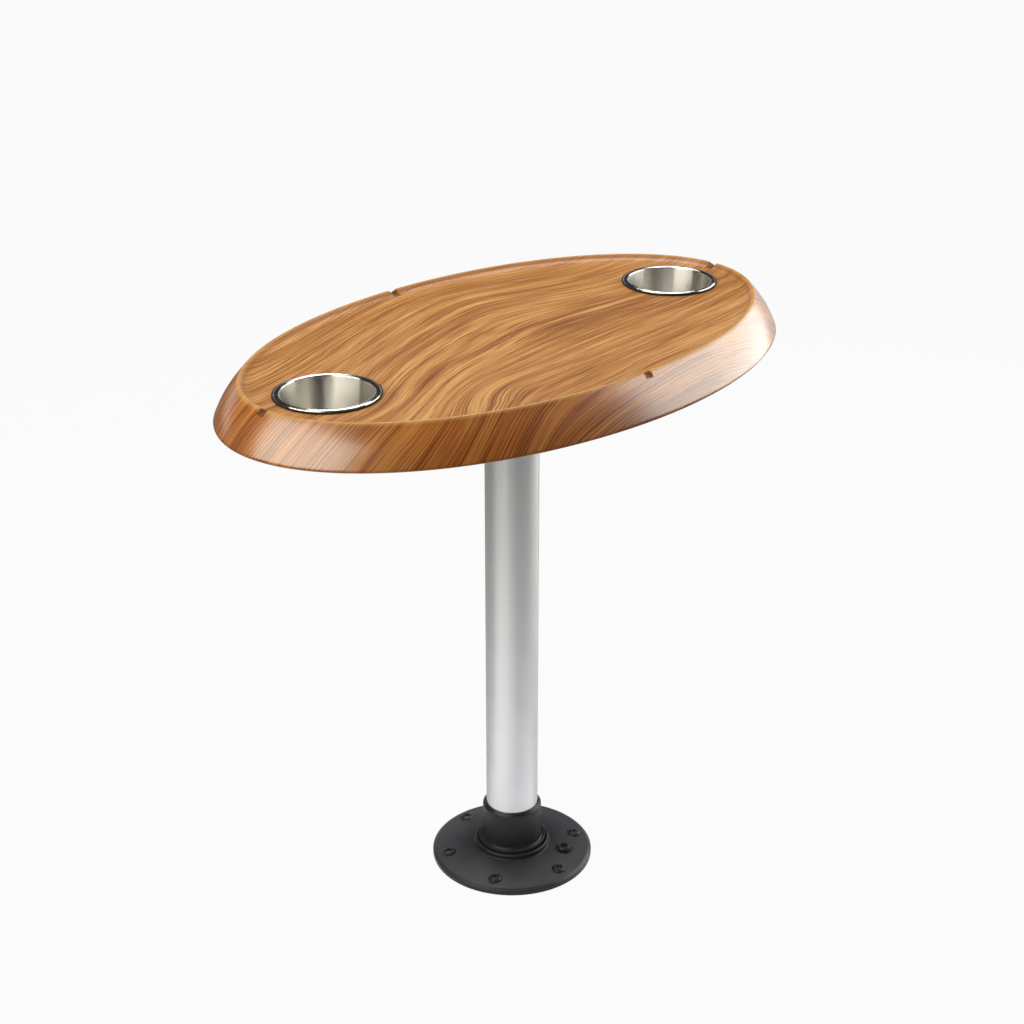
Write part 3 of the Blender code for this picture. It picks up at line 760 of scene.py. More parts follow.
def brushed_round(shader, strength):
    """Stretch highlights along the axis of a piece that was brushed or ground round it."""
    tangent = add(shader.id_data, "Tangent", {}, direction_type="RADIAL", axis="Z")
    fill(shader, {"Anisotropic": strength, "Anisotropic Rotation": 0.25, "Tangent": tangent})


def aluminium_finish(post):
    """Satin anodised tube with very fine lines round it and soft handling marks."""
    shader, place = new_finish("satin_aluminium")
    lines = use_group("streaks", place, Stretch=(9.0, 9.0, 900.0), Detail=3.0)
    marks = use_group("handling", place, Size=16.0, Low=0.31, High=0.36)
    brushed_round(shader, 0.8)
    fill(shader, {
        "Base Color": mix_colour(lines, scaled(post.aluminium, 0.98), scaled(post.aluminium, 1.01)),
        "Roughness": lines * 0.02 + marks,
        "Metallic": 1.0,
        "Normal": relief(lines, 0.000003)})


def steel_finish(name, tint, axis=0.0, roughness=0.29, rim_low=None):
    """Stainless steel; above rim_low polished, below it brushed round, so that streaks run up the wall."""
    shader, place = new_finish(name)
    around = use_group("round_place", centred(place, (axis, 0.0, 0.0)))
    lines = use_group("streaks", around, Stretch=(1300.0, 1300.0, 1.6), Detail=3.0)
    marks = use_group("handling", place, Size=40.0, Low=roughness, High=roughness + 0.02)
    rough = lines * 0.02 + marks
    if rim_low is not None:
        polish = remap(split(place)[2], rim_low - 0.0004, rim_low + 0.0001)
        rough = mix(polish, rough, marks * 0.2 + 0.15)
        brushed_round(shader, 1.0)
    fill(shader, {
        "Base Color": mix_colour(lines, scaled(tint, 0.96), scaled(tint, 1.03)),
        "Roughness": rough,
        "Metallic": 1.0,
        "Normal": relief(lines, 0.000001)})


def nylon_finish(name, tint, wear_and_light, roughness, depth, dust_and_light=0.0):
    """Moulded nylon: pebbled skin, lighter convex edges of scuffing and painted highlight, uneven sheen,
    and on what faces up dust with painted light from above, fading as painted shade towards the hub.
    """
    shader, place = new_finish(name)
    marks = use_group("handling", place, Size=45.0)
    convex_edges = use_group("edge_wear_and_highlight", place, Size=500.0, Start=0.52, Full=0.60)
    shade = mix_colour(marks, tint, scaled(tint, 1.30))
    # Lighter convex edges: scuffing, and on the black nylon's beads and rings a painted highlight.
    shade = mix_colour(convex_edges * 0.6, shade, wear_and_light)
    if dust_and_light:
        # Up-facing faces lighter: dust, and painted light from above.
        up = split(add(place.tree, "NewGeometry", {}, "Normal"))[2]
        dust_and_top_light = ease(up, 0.55, 1.0, 0.0, dust_and_light) * remap(marks, 0.0, 1.0, 0.85, 1.0)
        # Painted shade: the lightening fades towards the hub.
        dust_and_top_light = dust_and_top_light * remap(axis_distance(place), 0.044, 0.082, 0.25, 1.0)
        shade = mix_colour(dust_and_top_light, shade, wear_and_light)
    fill(shader, {
        "Base Color": shade,
        "Roughness": remap(marks, 0.0, 1.0, roughness, roughness + 0.10),
        "Specular IOR Level": 0.32,
        "Normal": relief(use_group("moulded_skin", place, Size=1300.0), depth)})


def coated_finish(base):
    """Black coated steel with bright wear on its edges."""
    shader, place = new_finish("black_coating")
    convex_edges = use_group("edge_wear_and_highlight", place, Size=900.0, Start=0.56, Full=0.70)
    fill(shader, {
        "Base Color": mix_colour(convex_edges * 0.5, base.coating, BARE_STEEL),
        "Roughness": use_group("handling", place, Size=160.0, Low=0.30, High=0.44),
        "Normal": relief(use_group("moulded_skin", place, Size=2600.0), 0.00003)})


def brass_finish(bracket):
    """Plain turned brass with dull patches."""
    shader, place = new_finish("turned_brass")
    lines = use_group("streaks", place, Stretch=(300.0, 300.0, 6000.0))
    dull = use_group("handling", place, Size=220.0)
    fill(shader, {
        "Base Color": mix_colour(dull, bracket.brass, scaled(bracket.brass, 0.62)),
        "Roughness": remap(lines, 0.0, 1.0, 0.25, 0.42),
        "Metallic": 1.0,
        "Normal": relief(lines, 0.00002)})


def board_edge(top):
    """The board's edge from underside to surface: (reach from the crest's oval, height) points.

    A quarter circle leads from the underside to the band, which goes from (flare, edge radius) to
    (0, thickness) along flare (1 - s) + bulge sin(pi s). Inside the crest a cove falls to the surface
    along lip height (1 - s)^3.
    """
    soft = top.edge_round
    turn = np.radians(np.linspace(-90.0, 0.0, LOWER_STEPS + 1))
    lower = unrounded(top.flare - soft + soft * np.cos(turn), soft + soft * np.sin(turn))
    share = np.linspace(0.07, 0.93, BAND_STEPS + 1)
    band = unrounded(top.flare * (1 - share) + top.bulge * np.sin(math.pi * share),
                     soft + (top.thickness - soft) * share)
    crest = [(0.0, top.thickness, top.lip_round), (-top.lip_width, top.thickness, top.lip_round)]
    inward = np.linspace(0.0, 1.0, COVE_STEPS + 1)[1:]
    cove = unrounded(-top.lip_width - top.lip_cove * inward,
                     top.thickness - top.lip_height * (1 - (1 - inward) ** 3))
    return outline([(top.flare - top.edge_flat, 0.0, 0.0), *lower, *band, *crest, *cove], closed=False)


def board_ring(top):
    """The board's edge carried round the oval, with four drain notches pressed into its lip.

    Each loop is ((a + reach) cos t, (b + reach) sin t), with t drawn together at the oval's four ends. A
    notch lowers every point above its trapezium, whose depth falls off with the distance from the nearest
    axis of the oval.
    """
    reach, height = board_edge(top).T
    steady = np.linspace(0.0, 2 * math.pi, OVAL_STEPS, endpoint=False)
    crowding = 0.2
    turn = (steady - crowding * np.sin(4 * steady))[:, None]
    x = (top.long_size / 2 - top.flare + reach) * np.cos(turn)
    y = (top.short_size / 2 - top.flare + reach) * np.sin(turn)
    near_long_axis = np.abs(np.cos(turn)) > 0.8
    from_axis = np.where(near_long_axis, np.abs(y), np.abs(x))
    slope = (top.notch_width - top.notch_floor) / 2
    press = np.clip((top.notch_width / 2 - from_axis) / slope, 0.0, 1.0)
    z = np.minimum(height, top.thickness - top.notch_depth * press)
    return np.stack((x, y, z + BOARD_LOW.z), axis=-1)


def half_plate(rim, side, offset, hole):
    """Half of the flat face between the oval and one cup's hole.

    Rows are points of the half's border, the oval's arc and the seam across the middle. Columns go
    straight from the hole's circle, at the same bearing from the cup's axis, to the border.
    """
    quarter = OVAL_STEPS // 4
    middle = 0 if side > 0 else 2 * quarter
    arc = rim[np.arange(middle - quarter, middle + quarter + 1) % OVAL_STEPS]
    share = np.linspace(0.0, 1.0, SEAM_STEPS + 1)[1:-1, None]
    seam = arc[-1] + (arc[0] - arc[-1]) * share
    border = np.concatenate((arc, seam))
    axis = side * offset
    bearing = np.arctan2(border[:, 1], border[:, 0] - axis)
    circle = np.stack((axis + hole * np.cos(bearing), hole * np.sin(bearing), border[:, 2]), axis=-1)
    step = np.linspace(0.0, 1.0, PLATE_STEPS + 1)[None, :, None]
    return circle[:, None] + (border - circle)[:, None] * step


def cup_hole(cups):
    """Radius of a cup's hole in the board."""
    return cups.rim_radius - cups.rim_width + cups.play


def board_shells(top, cups):
    """The whole board as one closed surface: edge, upper and lower faces, and the two holes' walls."""
    ring = board_ring(top)
    hole = cup_hole(cups)
    shells = [(ring, True, False)]
    for side in SIDES.values():
        upper = half_plate(ring[:, -1], side, cups.offset, hole)
        lower = half_plate(ring[:, 0], side, cups.offset, hole)
        wall = np.stack((upper[:, 0], lower[:, 0]), axis=1)
        shells += [(upper, True, False), (lower, True, False), (wall, True, False)]
    return shells


def cup_outline(cups, rim_low, floor):
    """A cup's section from the middle of its underside, over the rolled rim, to the middle of its floor.

    The rim is a low dome between the wall and the outer edge, half of the oval
    |2 (r - m) / width|^2.6 + (h / height)^1.7 = 1.
    """
    radius = cups.rim_radius - cups.rim_width
    foot = radius - cups.taper
    inner = radius - cups.wall
    half = (cups.rim_radius - inner) / 2
    turn = np.radians(np.linspace(0.0, 180.0, RIM_STEPS + 1)[:-1])
    bow = np.sign(np.cos(turn)) * np.abs(np.cos(turn)) ** (2 / 2.6)
    dome = np.sin(turn) ** (2 / 1.7)
    rim = unrounded(cups.rim_radius - half + half * bow, rim_low + cups.rim_height * dome)
    inside = floor + cups.wall
    return outline([
        (0.0, floor, 0.0), (foot, floor, cups.corner), (radius, rim_low, 0.0003), *rim,
        (inner, rim_low, 0.0), (foot - cups.wall, inside, cups.corner - cups.wall), (0.0, inside, 0.0),
    ], closed=False)


def plug_shells(post, seat, side):
    """An end plug: a cap and a hollow stem turned round Z, with a key on the cap's outer face."""
    stem = post.radius - post.wall - FIT
    hollow = stem - post.plug_wall
    crown = post.cap + post.crown
    end = post.cap + post.stem
    soft = 0.0006
    section = outline([
        (0.0, 0.0, 0.0), (post.radius, 0.0, soft), (post.radius, post.cap, soft / 2),
        (stem, post.cap, 0.0), (stem, end, soft), (hollow, end, soft), (hollow, crown, soft),
        (0.0, crown, 0.0),
    ], closed=False)
    lifted = (0.0, 0.0, seat)
    body = placed(turned(section, closed=False), lifted, flip=side < 0)
    low, high = sorted((-side * post.key_height, side * post.cap / 2))
    return [body, placed(bar(post.key_length, post.key_width, low, high), lifted)]


def divided(points, step):
    """A closed outline with more points, so that none is further than a step from the next."""
    loop = np.concatenate((points, points[:1]))
    way = np.concatenate(([0.0], np.cumsum(np.linalg.norm(np.diff(loop, axis=0), axis=1))))
    places = np.unique(np.concatenate((way, np.arange(0.0, way[-1], step))))[:-1]
    return np.stack([np.interp(places, way, side) for side in loop.T], axis=-1)


def flange_outline(base):
    """The deck flange's section: shallow cone, bevelled rim, raised ring, and the web with its recess."""
    crown = (base.hub_radius - base.hub_bore) * 0.48
    spigot = base.spigot + FIT
    return outline([
        (base.recess, 0.0, 0.0003), (base.radius, 0.0, 0.0008), (base.radius, base.rim, 0.0012),
        (base.radius - base.bevel, base.shoulder, 0.0025),
        (base.hub_radius, base.cone, base.hub_fillet), (base.hub_radius, FLANGE_TOP, crown),
        (base.hub_bore, FLANGE_TOP, crown), (base.hub_bore, base.web_high, 0.0004),
        (spigot, base.web_high, 0.0003), (spigot, base.web_low, 0.0003),
        (base.recess, base.web_low, 0.0006)])


def collar_outline(base, ring_low, ring_high):
    """The socket's section: spigot, foot with its bead, collar, and the bore with its floor."""
    low = SOCKET_LOW.z
    high = SOCKET_HIGH.z
    valley = base.foot_low + base.foot_thickness - base.bead
    sweep = np.radians(np.linspace(0.0, 180.0, BEAD_STEPS + 1))
    bead = unrounded(base.foot - base.bead + base.bead * np.cos(sweep), valley + base.bead * np.sin(sweep))
    groove = base.spigot - base.groove
    return outline([
        (base.spigot, base.foot_low, 0.0003), (base.foot, base.foot_low, 0.0004), *bead,
        (base.collar, valley, base.fillet), (base.collar, high - base.chamfer, 0.0008),
        (base.bore + base.mouth, high, 0.0006), (base.bore, high, 0.0004),
        (base.bore, base.floor, 0.0006), (base.drain, base.floor, 0.0006),
        (base.drain, low, 0.0004), (base.spigot, low, 0.0005), (base.spigot, ring_low, 0.0),
        (groove, ring_low, 0.0), (groove, ring_high, 0.0), (base.spigot, ring_high, 0.0)])


def head_shell(crown, side, depth, beyond):
    """A fastener turned round Z whose head is sunk, by a smooth step, inside a recess.

    beyond gives, for x and y, how far a point lies outside the recess's outline. The step is
    s^2 (3 - 2 s), where s goes from 0 to 1 across the recess's wall.
    """
    profile = np.concatenate((crown, np.array(side)))
    grid, rows, columns = turned(profile, closed=False, steps=SMALL_STEPS)
    x, y, z = np.moveaxis(grid, -1, 0)
    start, end = RECESS_WALL
    share = np.clip((beyond(x, y) - start) / (end - start), 0.0, 1.0)
    inside = 1 - share * share * (3 - 2 * share)
    floor = profile[:, 1].max() - depth
    sunk = z - np.maximum(z - floor, 0.0) * inside
    return np.stack((x, y, np.where(z > HEAD_START, sunk, z)), axis=-1), rows, columns


def shank_side(head, shank, reach, bevel):
    """A fastener's section below its head's rim: the head's lower edge, the shank and its bevelled end."""
    return [(head, 0.0004), (head - 0.0003, 0.0), (shank, 0.0), (shank, bevel - reach),
            (shank - bevel, -reach), (0.0, -reach)]


def screw_shell(base, reach):
    """A pan-head screw pointing down, its head's underside at zero, with a cross recess.

    The crown is a quarter of an ellipse over a low straight edge.
    """
    radius = base.head_radius
    edge = base.head_height * 0.3
    dome = base.head_height - edge
    share = np.linspace(0.0, 1.0, CROWN_STEPS + 1)[:-1]
    crown = np.stack((radius * share, edge + dome * np.sqrt(1 - share ** 2)), axis=-1)
    side = [(radius, edge), *shank_side(radius, base.shank, reach, 0.0008)]
    arm = radius * 0.50
    half = radius * 0.11

    def cross(x, y):
        x = np.abs(x)
        y = np.abs(y)
        return np.minimum(np.maximum(x - arm, y - half), np.maximum(y - arm, x - half))

    return head_shell(crown, side, base.head_height * 0.5, cross)


def bolt_shell(base, reach):
    """The deck bolt pointing down, with a chamfered head and a hexagon recess."""
    radius = base.bolt_head
    top = base.bolt_height
    chamfer = top * 0.2
    flat = np.linspace(0.0, radius - chamfer, CROWN_STEPS + 1)[:-1]
    crown = np.stack((flat, np.full_like(flat, top)), axis=-1)
    side = [(radius - chamfer, top), (radius - 0.25 * chamfer, top * 0.87), (radius, top - 1.6 * chamfer),
            *shank_side(radius, base.bolt_shank, reach, 0.001)]
    apothem = base.bolt_hex * math.cos(math.pi / 6)

    def hexagon(x, y):
        turns = np.radians([30.0, 90.0, 150.0])[:, None, None]
        return np.abs(x * np.cos(turns) + y * np.sin(turns)).max(axis=0) - apothem

    return head_shell(crown, side, top * 0.6, hexagon)


def seat_shell(shank, head, seat):
    """A round cutter: a through hole for a shank, and above the seat a wider one for the head."""
    hole = shank + FIT
    face = head + 2 * FIT
    through = 0.02
    section = np.array([(0.0, -through), (hole, -through), (hole, seat), (face, seat), (face, through),
                        (0.0, through)])
    return turned(section, closed=False, steps=SMALL_STEPS)


def make_screws(base, spots, name, node, look, body, flip=False):
    """A circle of screws, head up or head down, each with its cross turned on from the last one's."""
    for number, spot in enumerate(spots, 1):
        low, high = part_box(f"{node}_{number}")
        seat = low.z + base.head_height if flip else high.z - base.head_height
        screw = screw_shell(base, high.z - low.z - base.head_height)
        screw = placed(screw, (*spot, seat), number * SCREW_TURN, flip)
        make_piece(f"{name}_{number}", [screw], look, body, f"{node}_{number}")


class PEDESTAL_OT_finishes(bpy.types.Operator):
    """Make the shared node groups and every finish of the table"""
    bl_idname = "pedestal.finishes"
    bl_label = "Finishes"

    def execute(self, context):
        scene = context.scene
        cups = scene.pedestal_cups
        base = scene.pedestal_base
        bracket = scene.pedestal_bracket
        make_streaks_group()
        make_handling_group()
        make_wear_and_highlight_group()
        make_skin_group()
        make_round_group()
        make_rings_group()
        wood_finish(scene.pedestal_top)
        aluminium_finish(scene.pedestal_post)
        for name, side in SIDES.items():
            rim_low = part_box("cup_gasket_" + name)[0].z + cups.seal
            steel_finish("cup_steel_" + name, cups.steel, axis=side * cups.offset, rim_low=rim_low)
        steel_finish("screw_steel", cups.steel, roughness=0.26)
        nylon_finish("moulded_nylon", base.nylon, base.dust_and_light, roughness=0.30, depth=0.00003, dust_and_light=0.85)
        nylon_finish("natural_nylon", bracket.nylon, bracket.nylon_wear, roughness=0.38, depth=0.00004)
        nylon_finish("seal_rubber", cups.rubber, cups.rubber_wear, roughness=0.58, depth=0.00005)
        coated_finish(base)
        brass_finish(bracket)
        return {"FINISHED"}


class PEDESTAL_OT_board(bpy.types.Operator):
    """Make the oval wooden board with its lip, drain notches and cup holes"""
    bl_idname = "pedestal.board"
    bl_label = "Wooden board"

    def execute(self, context):
        shells = board_shells(context.scene.pedestal_top, context.scene.pedestal_cups)
        make_piece("oval_board", shells, "varnished_wood", "top", "table_top")
        return {"FINISHED"}


class PEDESTAL_OT_cups(bpy.types.Operator):
    """Make the two drop-in cups and the seals under their rims"""
    bl_idname = "pedestal.cups"
    bl_label = "Cups and seals"

    def execute(self, context):
        cups = context.scene.pedestal_cups
        hole = cup_hole(cups)
        inside = cups.rim_radius + FIT
        edge = cups.rim_radius + cups.seal_show
        soft = (edge - inside) * 0.45
        for name, side in SIDES.items():
            place = (side * cups.offset, 0.0, 0.0)
            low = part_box("cup_gasket_" + name)[0].z
            high = low + cups.seal
            lip = high + cups.seal_lip
            cup = turned(cup_outline(cups, high + FIT / 2, CUP_LOW.z), closed=False)
            make_piece("steel_cup_" + name, [placed(cup, place)], "cup_steel_" + name, "cup_" + name,
                       "cup_holder_" + name)
            seal = turned(outline([(hole, low, 0.0002), (edge, low, soft), (edge, lip, soft),
                                   (inside, lip, soft), (inside, high, 0.0), (hole, high, 0.0002)]))
            make_piece("seal_" + name, [placed(seal, place)], "seal_rubber", "top",
                       "cup_gasket_" + name)
        return {"FINISHED"}


class PEDESTAL_OT_post(bpy.types.Operator):
    """Make the tube and its two end plugs"""
    bl_idname = "pedestal.post"
    bl_label = "Post"

    def execute(self, context):
        post = context.scene.pedestal_post
        inner = post.radius - post.wall
        soft = 0.0004
        tube = turned(outline([(inner, TUBE_LOW.z, soft), (post.radius, TUBE_LOW.z, soft),
                               (post.radius, TUBE_HIGH.z, soft), (inner, TUBE_HIGH.z, soft)]))
        make_piece("satin_tube", [tube], "satin_aluminium", "post", "post_tube")
        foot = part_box("post_foot_plug")[0].z + post.key_height
        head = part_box("post_head_plug")[1].z - post.key_height
        for name, seat, side in (("foot", foot, 1), ("head", head, -1)):
            shells = plug_shells(post, seat, side)
            make_piece(f"{name}_plug", shells, "moulded_nylon", "post", f"post_{name}_plug")
        return {"FINISHED"}


class PEDESTAL_OT_base(bpy.types.Operator):
    """Make the deck flange and the swivelling collar"""
    bl_idname = "pedestal.base"
    bl_label = "Base"

    def execute(self, context):
        base = context.scene.pedestal_base
        screw_seat = seat_shell(base.shank, base.head_radius, base.thickness)
        bolt_seat = seat_shell(base.bolt_shank, base.washer, base.thickness)
        seats = [placed(screw_seat, (*spot, 0.0)) for spot in deck_screw_spots(base)]
        seats.append(placed(bolt_seat, (*bolt_spot(base), 0.0)))
        flange = turned(divided(flange_outline(base), FLANGE_STEP))
        make_piece("deck_flange", [flange], "moulded_nylon", "base", "base_flange", seats)
        ring_low, ring_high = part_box("retaining_ring")
        collar = turned(collar_outline(base, ring_low.z - FIT, ring_high.z + FIT))
        slot = key_slot(context.scene.pedestal_post, base.floor)
        make_piece("collar", [collar], "moulded_nylon", "socket", "post_socket", [slot])
        return {"FINISHED"}


class PEDESTAL_OT_fasteners(bpy.types.Operator):
    """Make the deck screws, the deck bolt with its washer, and the bracket's screws"""
    bl_idname = "pedestal.fasteners"
    bl_label = "Fasteners"

    def execute(self, context):
        base = context.scene.pedestal_base
        bracket = context.scene.pedestal_bracket
        spots = deck_screw_spots(base)
        make_screws(base, spots, "deck_screw", "base_screw", "black_coating", "base")
        spot = bolt_spot(base)
        low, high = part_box("deck_bolt")
        seat = high.z - base.bolt_height
        bolt = placed(bolt_shell(base, seat - low.z), (*spot, seat), BOLT_HEAD_TURN)
        make_piece("through_bolt", [bolt], "black_coating", "base", "deck_bolt")
        low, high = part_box("deck_bolt_washer")
        hole = base.bolt_shank + FIT
        soft = (high.z - low.z) * 0.3
        section = outline([(hole, low.z, 0.0002), (base.washer, low.z, soft), (base.washer, high.z, soft),
                           (hole, high.z, 0.0002)])
        washer = placed(turned(section, steps=SMALL_STEPS), (*spot, 0.0))
        make_piece("bolt_washer", [washer], "black_coating", "base", "deck_bolt_washer")
        spots = circle_spots(bracket.screw_circle, base.screw_count, 0.0)
        make_screws(base, spots, "wood_screw", "bracket_screw", "screw_steel", "top",
                    flip=True)
        return {"FINISHED"}


class PEDESTAL_OT_bracket(bpy.types.Operator):
    """Make the bracket under the board and its nylon sleeve"""
    bl_idname = "pedestal.bracket"
    bl_label = "Bracket"

    def execute(self, context):
        bracket = context.scene.pedestal_bracket
        top = BRACKET_HIGH.z
        mouth = BRACKET_LOW.z
        lower = top - bracket.thickness
        ceiling = top - bracket.ceiling
        section = outline([
            (0.0, top, 0.0), (bracket.radius, top, 0.0006), (bracket.radius, lower, 0.0018),
            (bracket.socket, lower, bracket.fillet), (bracket.socket, mouth, 0.0007),
            (bracket.bore, mouth, 0.0005), (bracket.bore, ceiling, 0.0008), (0.0, ceiling, 0.0),
        ], closed=False)
        slot = key_slot(context.scene.pedestal_post, ceiling)
        make_piece("socket_bracket", [turned(section, closed=False)], "moulded_nylon", "top",
                   "top_bracket", [slot])
        low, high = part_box("bracket_bush")
        step = mouth - FIT
        sleeve = turned(outline([
            (bracket.sleeve_bore, high.z, 0.0003), (bracket.sleeve_bore, low.z, 0.0006),
            (bracket.socket, low.z, 0.0007), (bracket.socket, step, 0.0003),
            (bracket.sleeve_radius, step, 0.0002), (bracket.sleeve_radius, high.z, 0.0003)]))
        make_piece("nylon_sleeve", [sleeve], "natural_nylon", "top", "bracket_bush")
        return {"FINISHED"}


class PEDESTAL_OT_inner(bpy.types.Operator):
    """Give the hidden CAD pieces their finishes"""
    bl_idname = "pedestal.inner"
    bl_label = "Inner pieces"

    def execute(self, context):
        looks = {"thrust_washer": "natural_nylon", "retaining_ring": "screw_steel"}
        looks.update({f"{end}_plug_pin_{i}": "screw_steel" for end in ("foot", "head") for i in (1, 2)})
        looks.update({f"bracket_insert_{i}": "turned_brass" for i in range(1, 7)})
        for node, name in looks.items():
            mesh = frame["nodes"][node].data
            mesh.materials.clear()
            mesh.materials.append(finish(name))
        return {"FINISHED"}


def toward(stage, bearing):
    """Level unit vector at a bearing, counted from the view's far side to its right."""
    turn = stage.heading + bearing
    return Vector((math.sin(turn), math.cos(turn), 0.0))


def softbox(stage, name, bearing, elevation, roll, distance, size, radiance, tint):
    """A rectangular lamp aimed at the top: roll turns it about its beam."""
    rise = math.radians(elevation)
    level = toward(stage, math.radians(bearing))
    direction = level * math.cos(rise) + Vector((0.0, 0.0, math.sin(rise)))
    lamp = bpy.data.lights.new(name, "AREA")
    lamp.shape = "RECTANGLE"
    lamp.size, lamp.size_y = size
    lamp.color = tint
    lamp.energy = radiance * math.pi * size[0] * size[1]
    item = bpy.data.objects.new(name, lamp)
    item.location = Vector((0.0, 0.0, BOARD_HIGH.z)) + direction * distance
    turn = direction.to_track_quat("Z", "Y") @ Quaternion((0.0, 0.0, 1.0), math.radians(roll))
    item.rotation_euler = turn.to_euler()
    item.visible_camera = False
    bpy.context.scene.collection.objects.link(item)


def ray_kinds(tree):
    """Masks of the rays from the camera, and of those that metal or glass sends on."""
    path = add_node(tree, "LightPath", {}).outputs
    mirrored = calc("MAXIMUM", Field(path["Is Glossy Ray"]), Field(path["Is Transmission Ray"]))
    return Field(path["Is Camera Ray"]), mirrored


def studio_world(stage):
    """White to the camera; in reflections a low white backdrop and a dim room; a little light all round.

    The backdrop and the dark screen are bounded by the cosine of the bearing from their middle.
    """
    world = bpy.data.worlds.new("studio")
    world.use_nodes = True
    tree = world.node_tree
    seen, mirrored = ray_kinds(tree)
    direction = add(tree, "TexCoord", {}, "Generated")
    facing = calc("DOT_PRODUCT", direction, toward(stage, 0.0))
    sheet = ease(facing, 0.30, 0.75) * ease(split(direction)[2], 0.04, 0.20, 1.0, 0.0)
    level = calc("NORMALIZE", direction * LEVEL)
    shade = calc("DOT_PRODUCT", level, toward(stage, stage.screen_turn))
    room = ease(shade, 0.89, 0.96, stage.room, 0.02 * stage.room)
    light = mix(mirrored, stage.ambient, mix(sheet, room, stage.backdrop))
    fill(tree.nodes["Background"], {"Color": WHITE, "Strength": mix(seen, light, 1.0)})
    return world


def floor_finish(stage):
    """A pale floor that is close to paper white to the camera and keeps a soft shadow.

    In reflections it glows with a painted pool of light round the base, most on the lit side and least at
    the rear, and with a painted bright patch in a far corner behind the table to its right.
    """
    material = bpy.data.materials.new("stage_floor")
    material.use_nodes = True
    tree = material.node_tree
    tree.nodes.remove(tree.nodes["Principled BSDF"])
    seen, mirrored = ray_kinds(tree)
    place = add(tree, "TexCoord", {}, "Object")
    away = toward(stage, 0.0)
    right = toward(stage, math.pi / 2)
    spread = calc("LENGTH", place)
    way = calc("NORMALIZE", place)
    lit = calc("DOT_PRODUCT", way, toward(stage, stage.floor_turn))
    lit = ease(lit, 0.55, 0.92, remap(spread, 0.2, 0.45, 1.0, 0.42), 1.0)
    lit = lit * remap(calc("DOT_PRODUCT", way, away), -0.1, 0.6, 1.0, 0.3)
    # Painted pool of light and painted bright corner, seen only in reflections.
    pool = remap(spread, 0.5, stage.floor_pool, stage.floor_mirror, 0.0) * lit
    corner = remap(calc("DOT_PRODUCT", place, away), 1.8, 2.6)
    corner = corner * remap(calc("DOT_PRODUCT", place, right), 0.08, 0.22, 0.0, 0.6)
    share = seen * stage.floor_glow + mirrored * calc("MAXIMUM", pool, corner)
    matt = add(tree, "BsdfDiffuse", {"Color": stage.floor_tone})
    glow = add(tree, "Emission", {"Color": WHITE, "Strength": 1.0})
    fill(tree.nodes["Material Output"], {"Surface": add(tree, "MixShader", {0: share, 1: matt, 2: glow})})
    return material


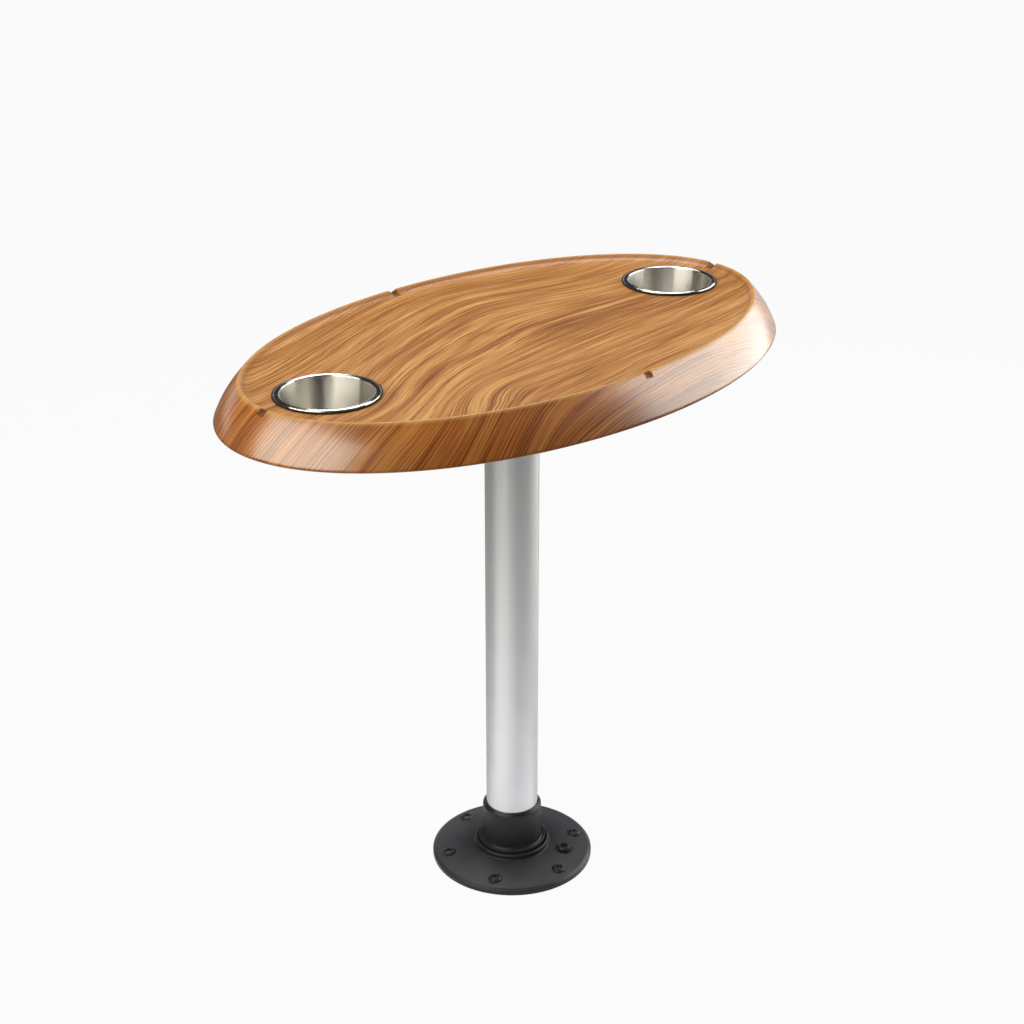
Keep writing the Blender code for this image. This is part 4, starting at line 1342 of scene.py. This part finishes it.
class PEDESTAL_OT_stage(bpy.types.Operator):
    """Make the floor, the lamps, the surroundings and the camera"""
    bl_idname = "pedestal.stage"
    bl_label = "Stage"

    def execute(self, context):
        scene = context.scene
        stage = scene.pedestal_stage
        line = np.linspace(-stage.floor_size, stage.floor_size, FLOOR_LINES)
        x, y = np.meshgrid(line, line, indexing="ij")
        points = np.stack((x, y, np.full_like(x, FLOOR_LEVEL)), axis=-1).reshape(-1, 3)
        mesh = bpy.data.meshes.new("floor")
        mesh.from_pydata(points, [], grid_faces(FLOOR_LINES, FLOOR_LINES, False, False))
        mesh.materials.append(floor_finish(stage))
        floor = bpy.data.objects.new("floor", mesh)
        scene.collection.objects.link(floor)
        for name, lamp in LAMPS.items():
            softbox(stage, name, **lamp)
        scene.world = studio_world(stage)
        scene.view_settings.view_transform = "Standard"
        lens = bpy.data.cameras.new("photo_camera")
        lens.lens = stage.lens
        lens.sensor_width = stage.sensor
        camera = bpy.data.objects.new("photo_camera", lens)
        camera.location = Vector((0.0, 0.0, stage.height)) - toward(stage, 0.0) * stage.distance
        camera.rotation_euler = (math.pi / 2 - stage.pitch, 0.0, -stage.heading)
        scene.collection.objects.link(camera)
        scene.camera = camera
        return {"FINISHED"}


STEPS = (PEDESTAL_OT_finishes, PEDESTAL_OT_stage, PEDESTAL_OT_board, PEDESTAL_OT_cups, PEDESTAL_OT_post,
         PEDESTAL_OT_base, PEDESTAL_OT_fasteners, PEDESTAL_OT_bracket, PEDESTAL_OT_inner)
SETTINGS = {"pedestal_top": TopSettings, "pedestal_cups": CupSettings, "pedestal_post": PostSettings,
            "pedestal_base": BaseSettings, "pedestal_bracket": BracketSettings,
            "pedestal_stage": StageSettings}


class PEDESTAL_PT_panel(bpy.types.Panel):
    """The table's steps and settings"""
    bl_idname = "PEDESTAL_PT_panel"
    bl_label = "Pedestal table"
    bl_space_type = "VIEW_3D"
    bl_region_type = "UI"
    bl_category = "Pedestal"

    def draw(self, context):
        for step in STEPS:
            self.layout.operator(step.bl_idname)
        for name, group in SETTINGS.items():
            box = self.layout.box()
            for key in group.__annotations__:
                box.prop(getattr(context.scene, name), key)


CLASSES = (*SETTINGS.values(), *STEPS, PEDESTAL_PT_panel)


def register():
    for item in CLASSES:
        bpy.utils.register_class(item)
    for name, group in SETTINGS.items():
        setattr(bpy.types.Scene, name, PointerProperty(type=group))


def unregister():
    for name in SETTINGS:
        delattr(bpy.types.Scene, name)
    for item in reversed(CLASSES):
        bpy.utils.unregister_class(item)


def main():
    """Clear the starting scene's own objects and make every piece."""
    kept = set(frame["nodes"].values()) | set(frame["bodies"].values())
    for item in list(bpy.data.objects):
        if item not in kept:
            bpy.data.objects.remove(item)
    register()
    bpy.ops.pedestal.finishes()
    bpy.ops.pedestal.stage()
    bpy.ops.pedestal.board()
    bpy.ops.pedestal.cups()
    bpy.ops.pedestal.post()
    bpy.ops.pedestal.base()
    bpy.ops.pedestal.fasteners()
    bpy.ops.pedestal.bracket()
    bpy.ops.pedestal.inner()


if __name__ == "__main__":
    main()
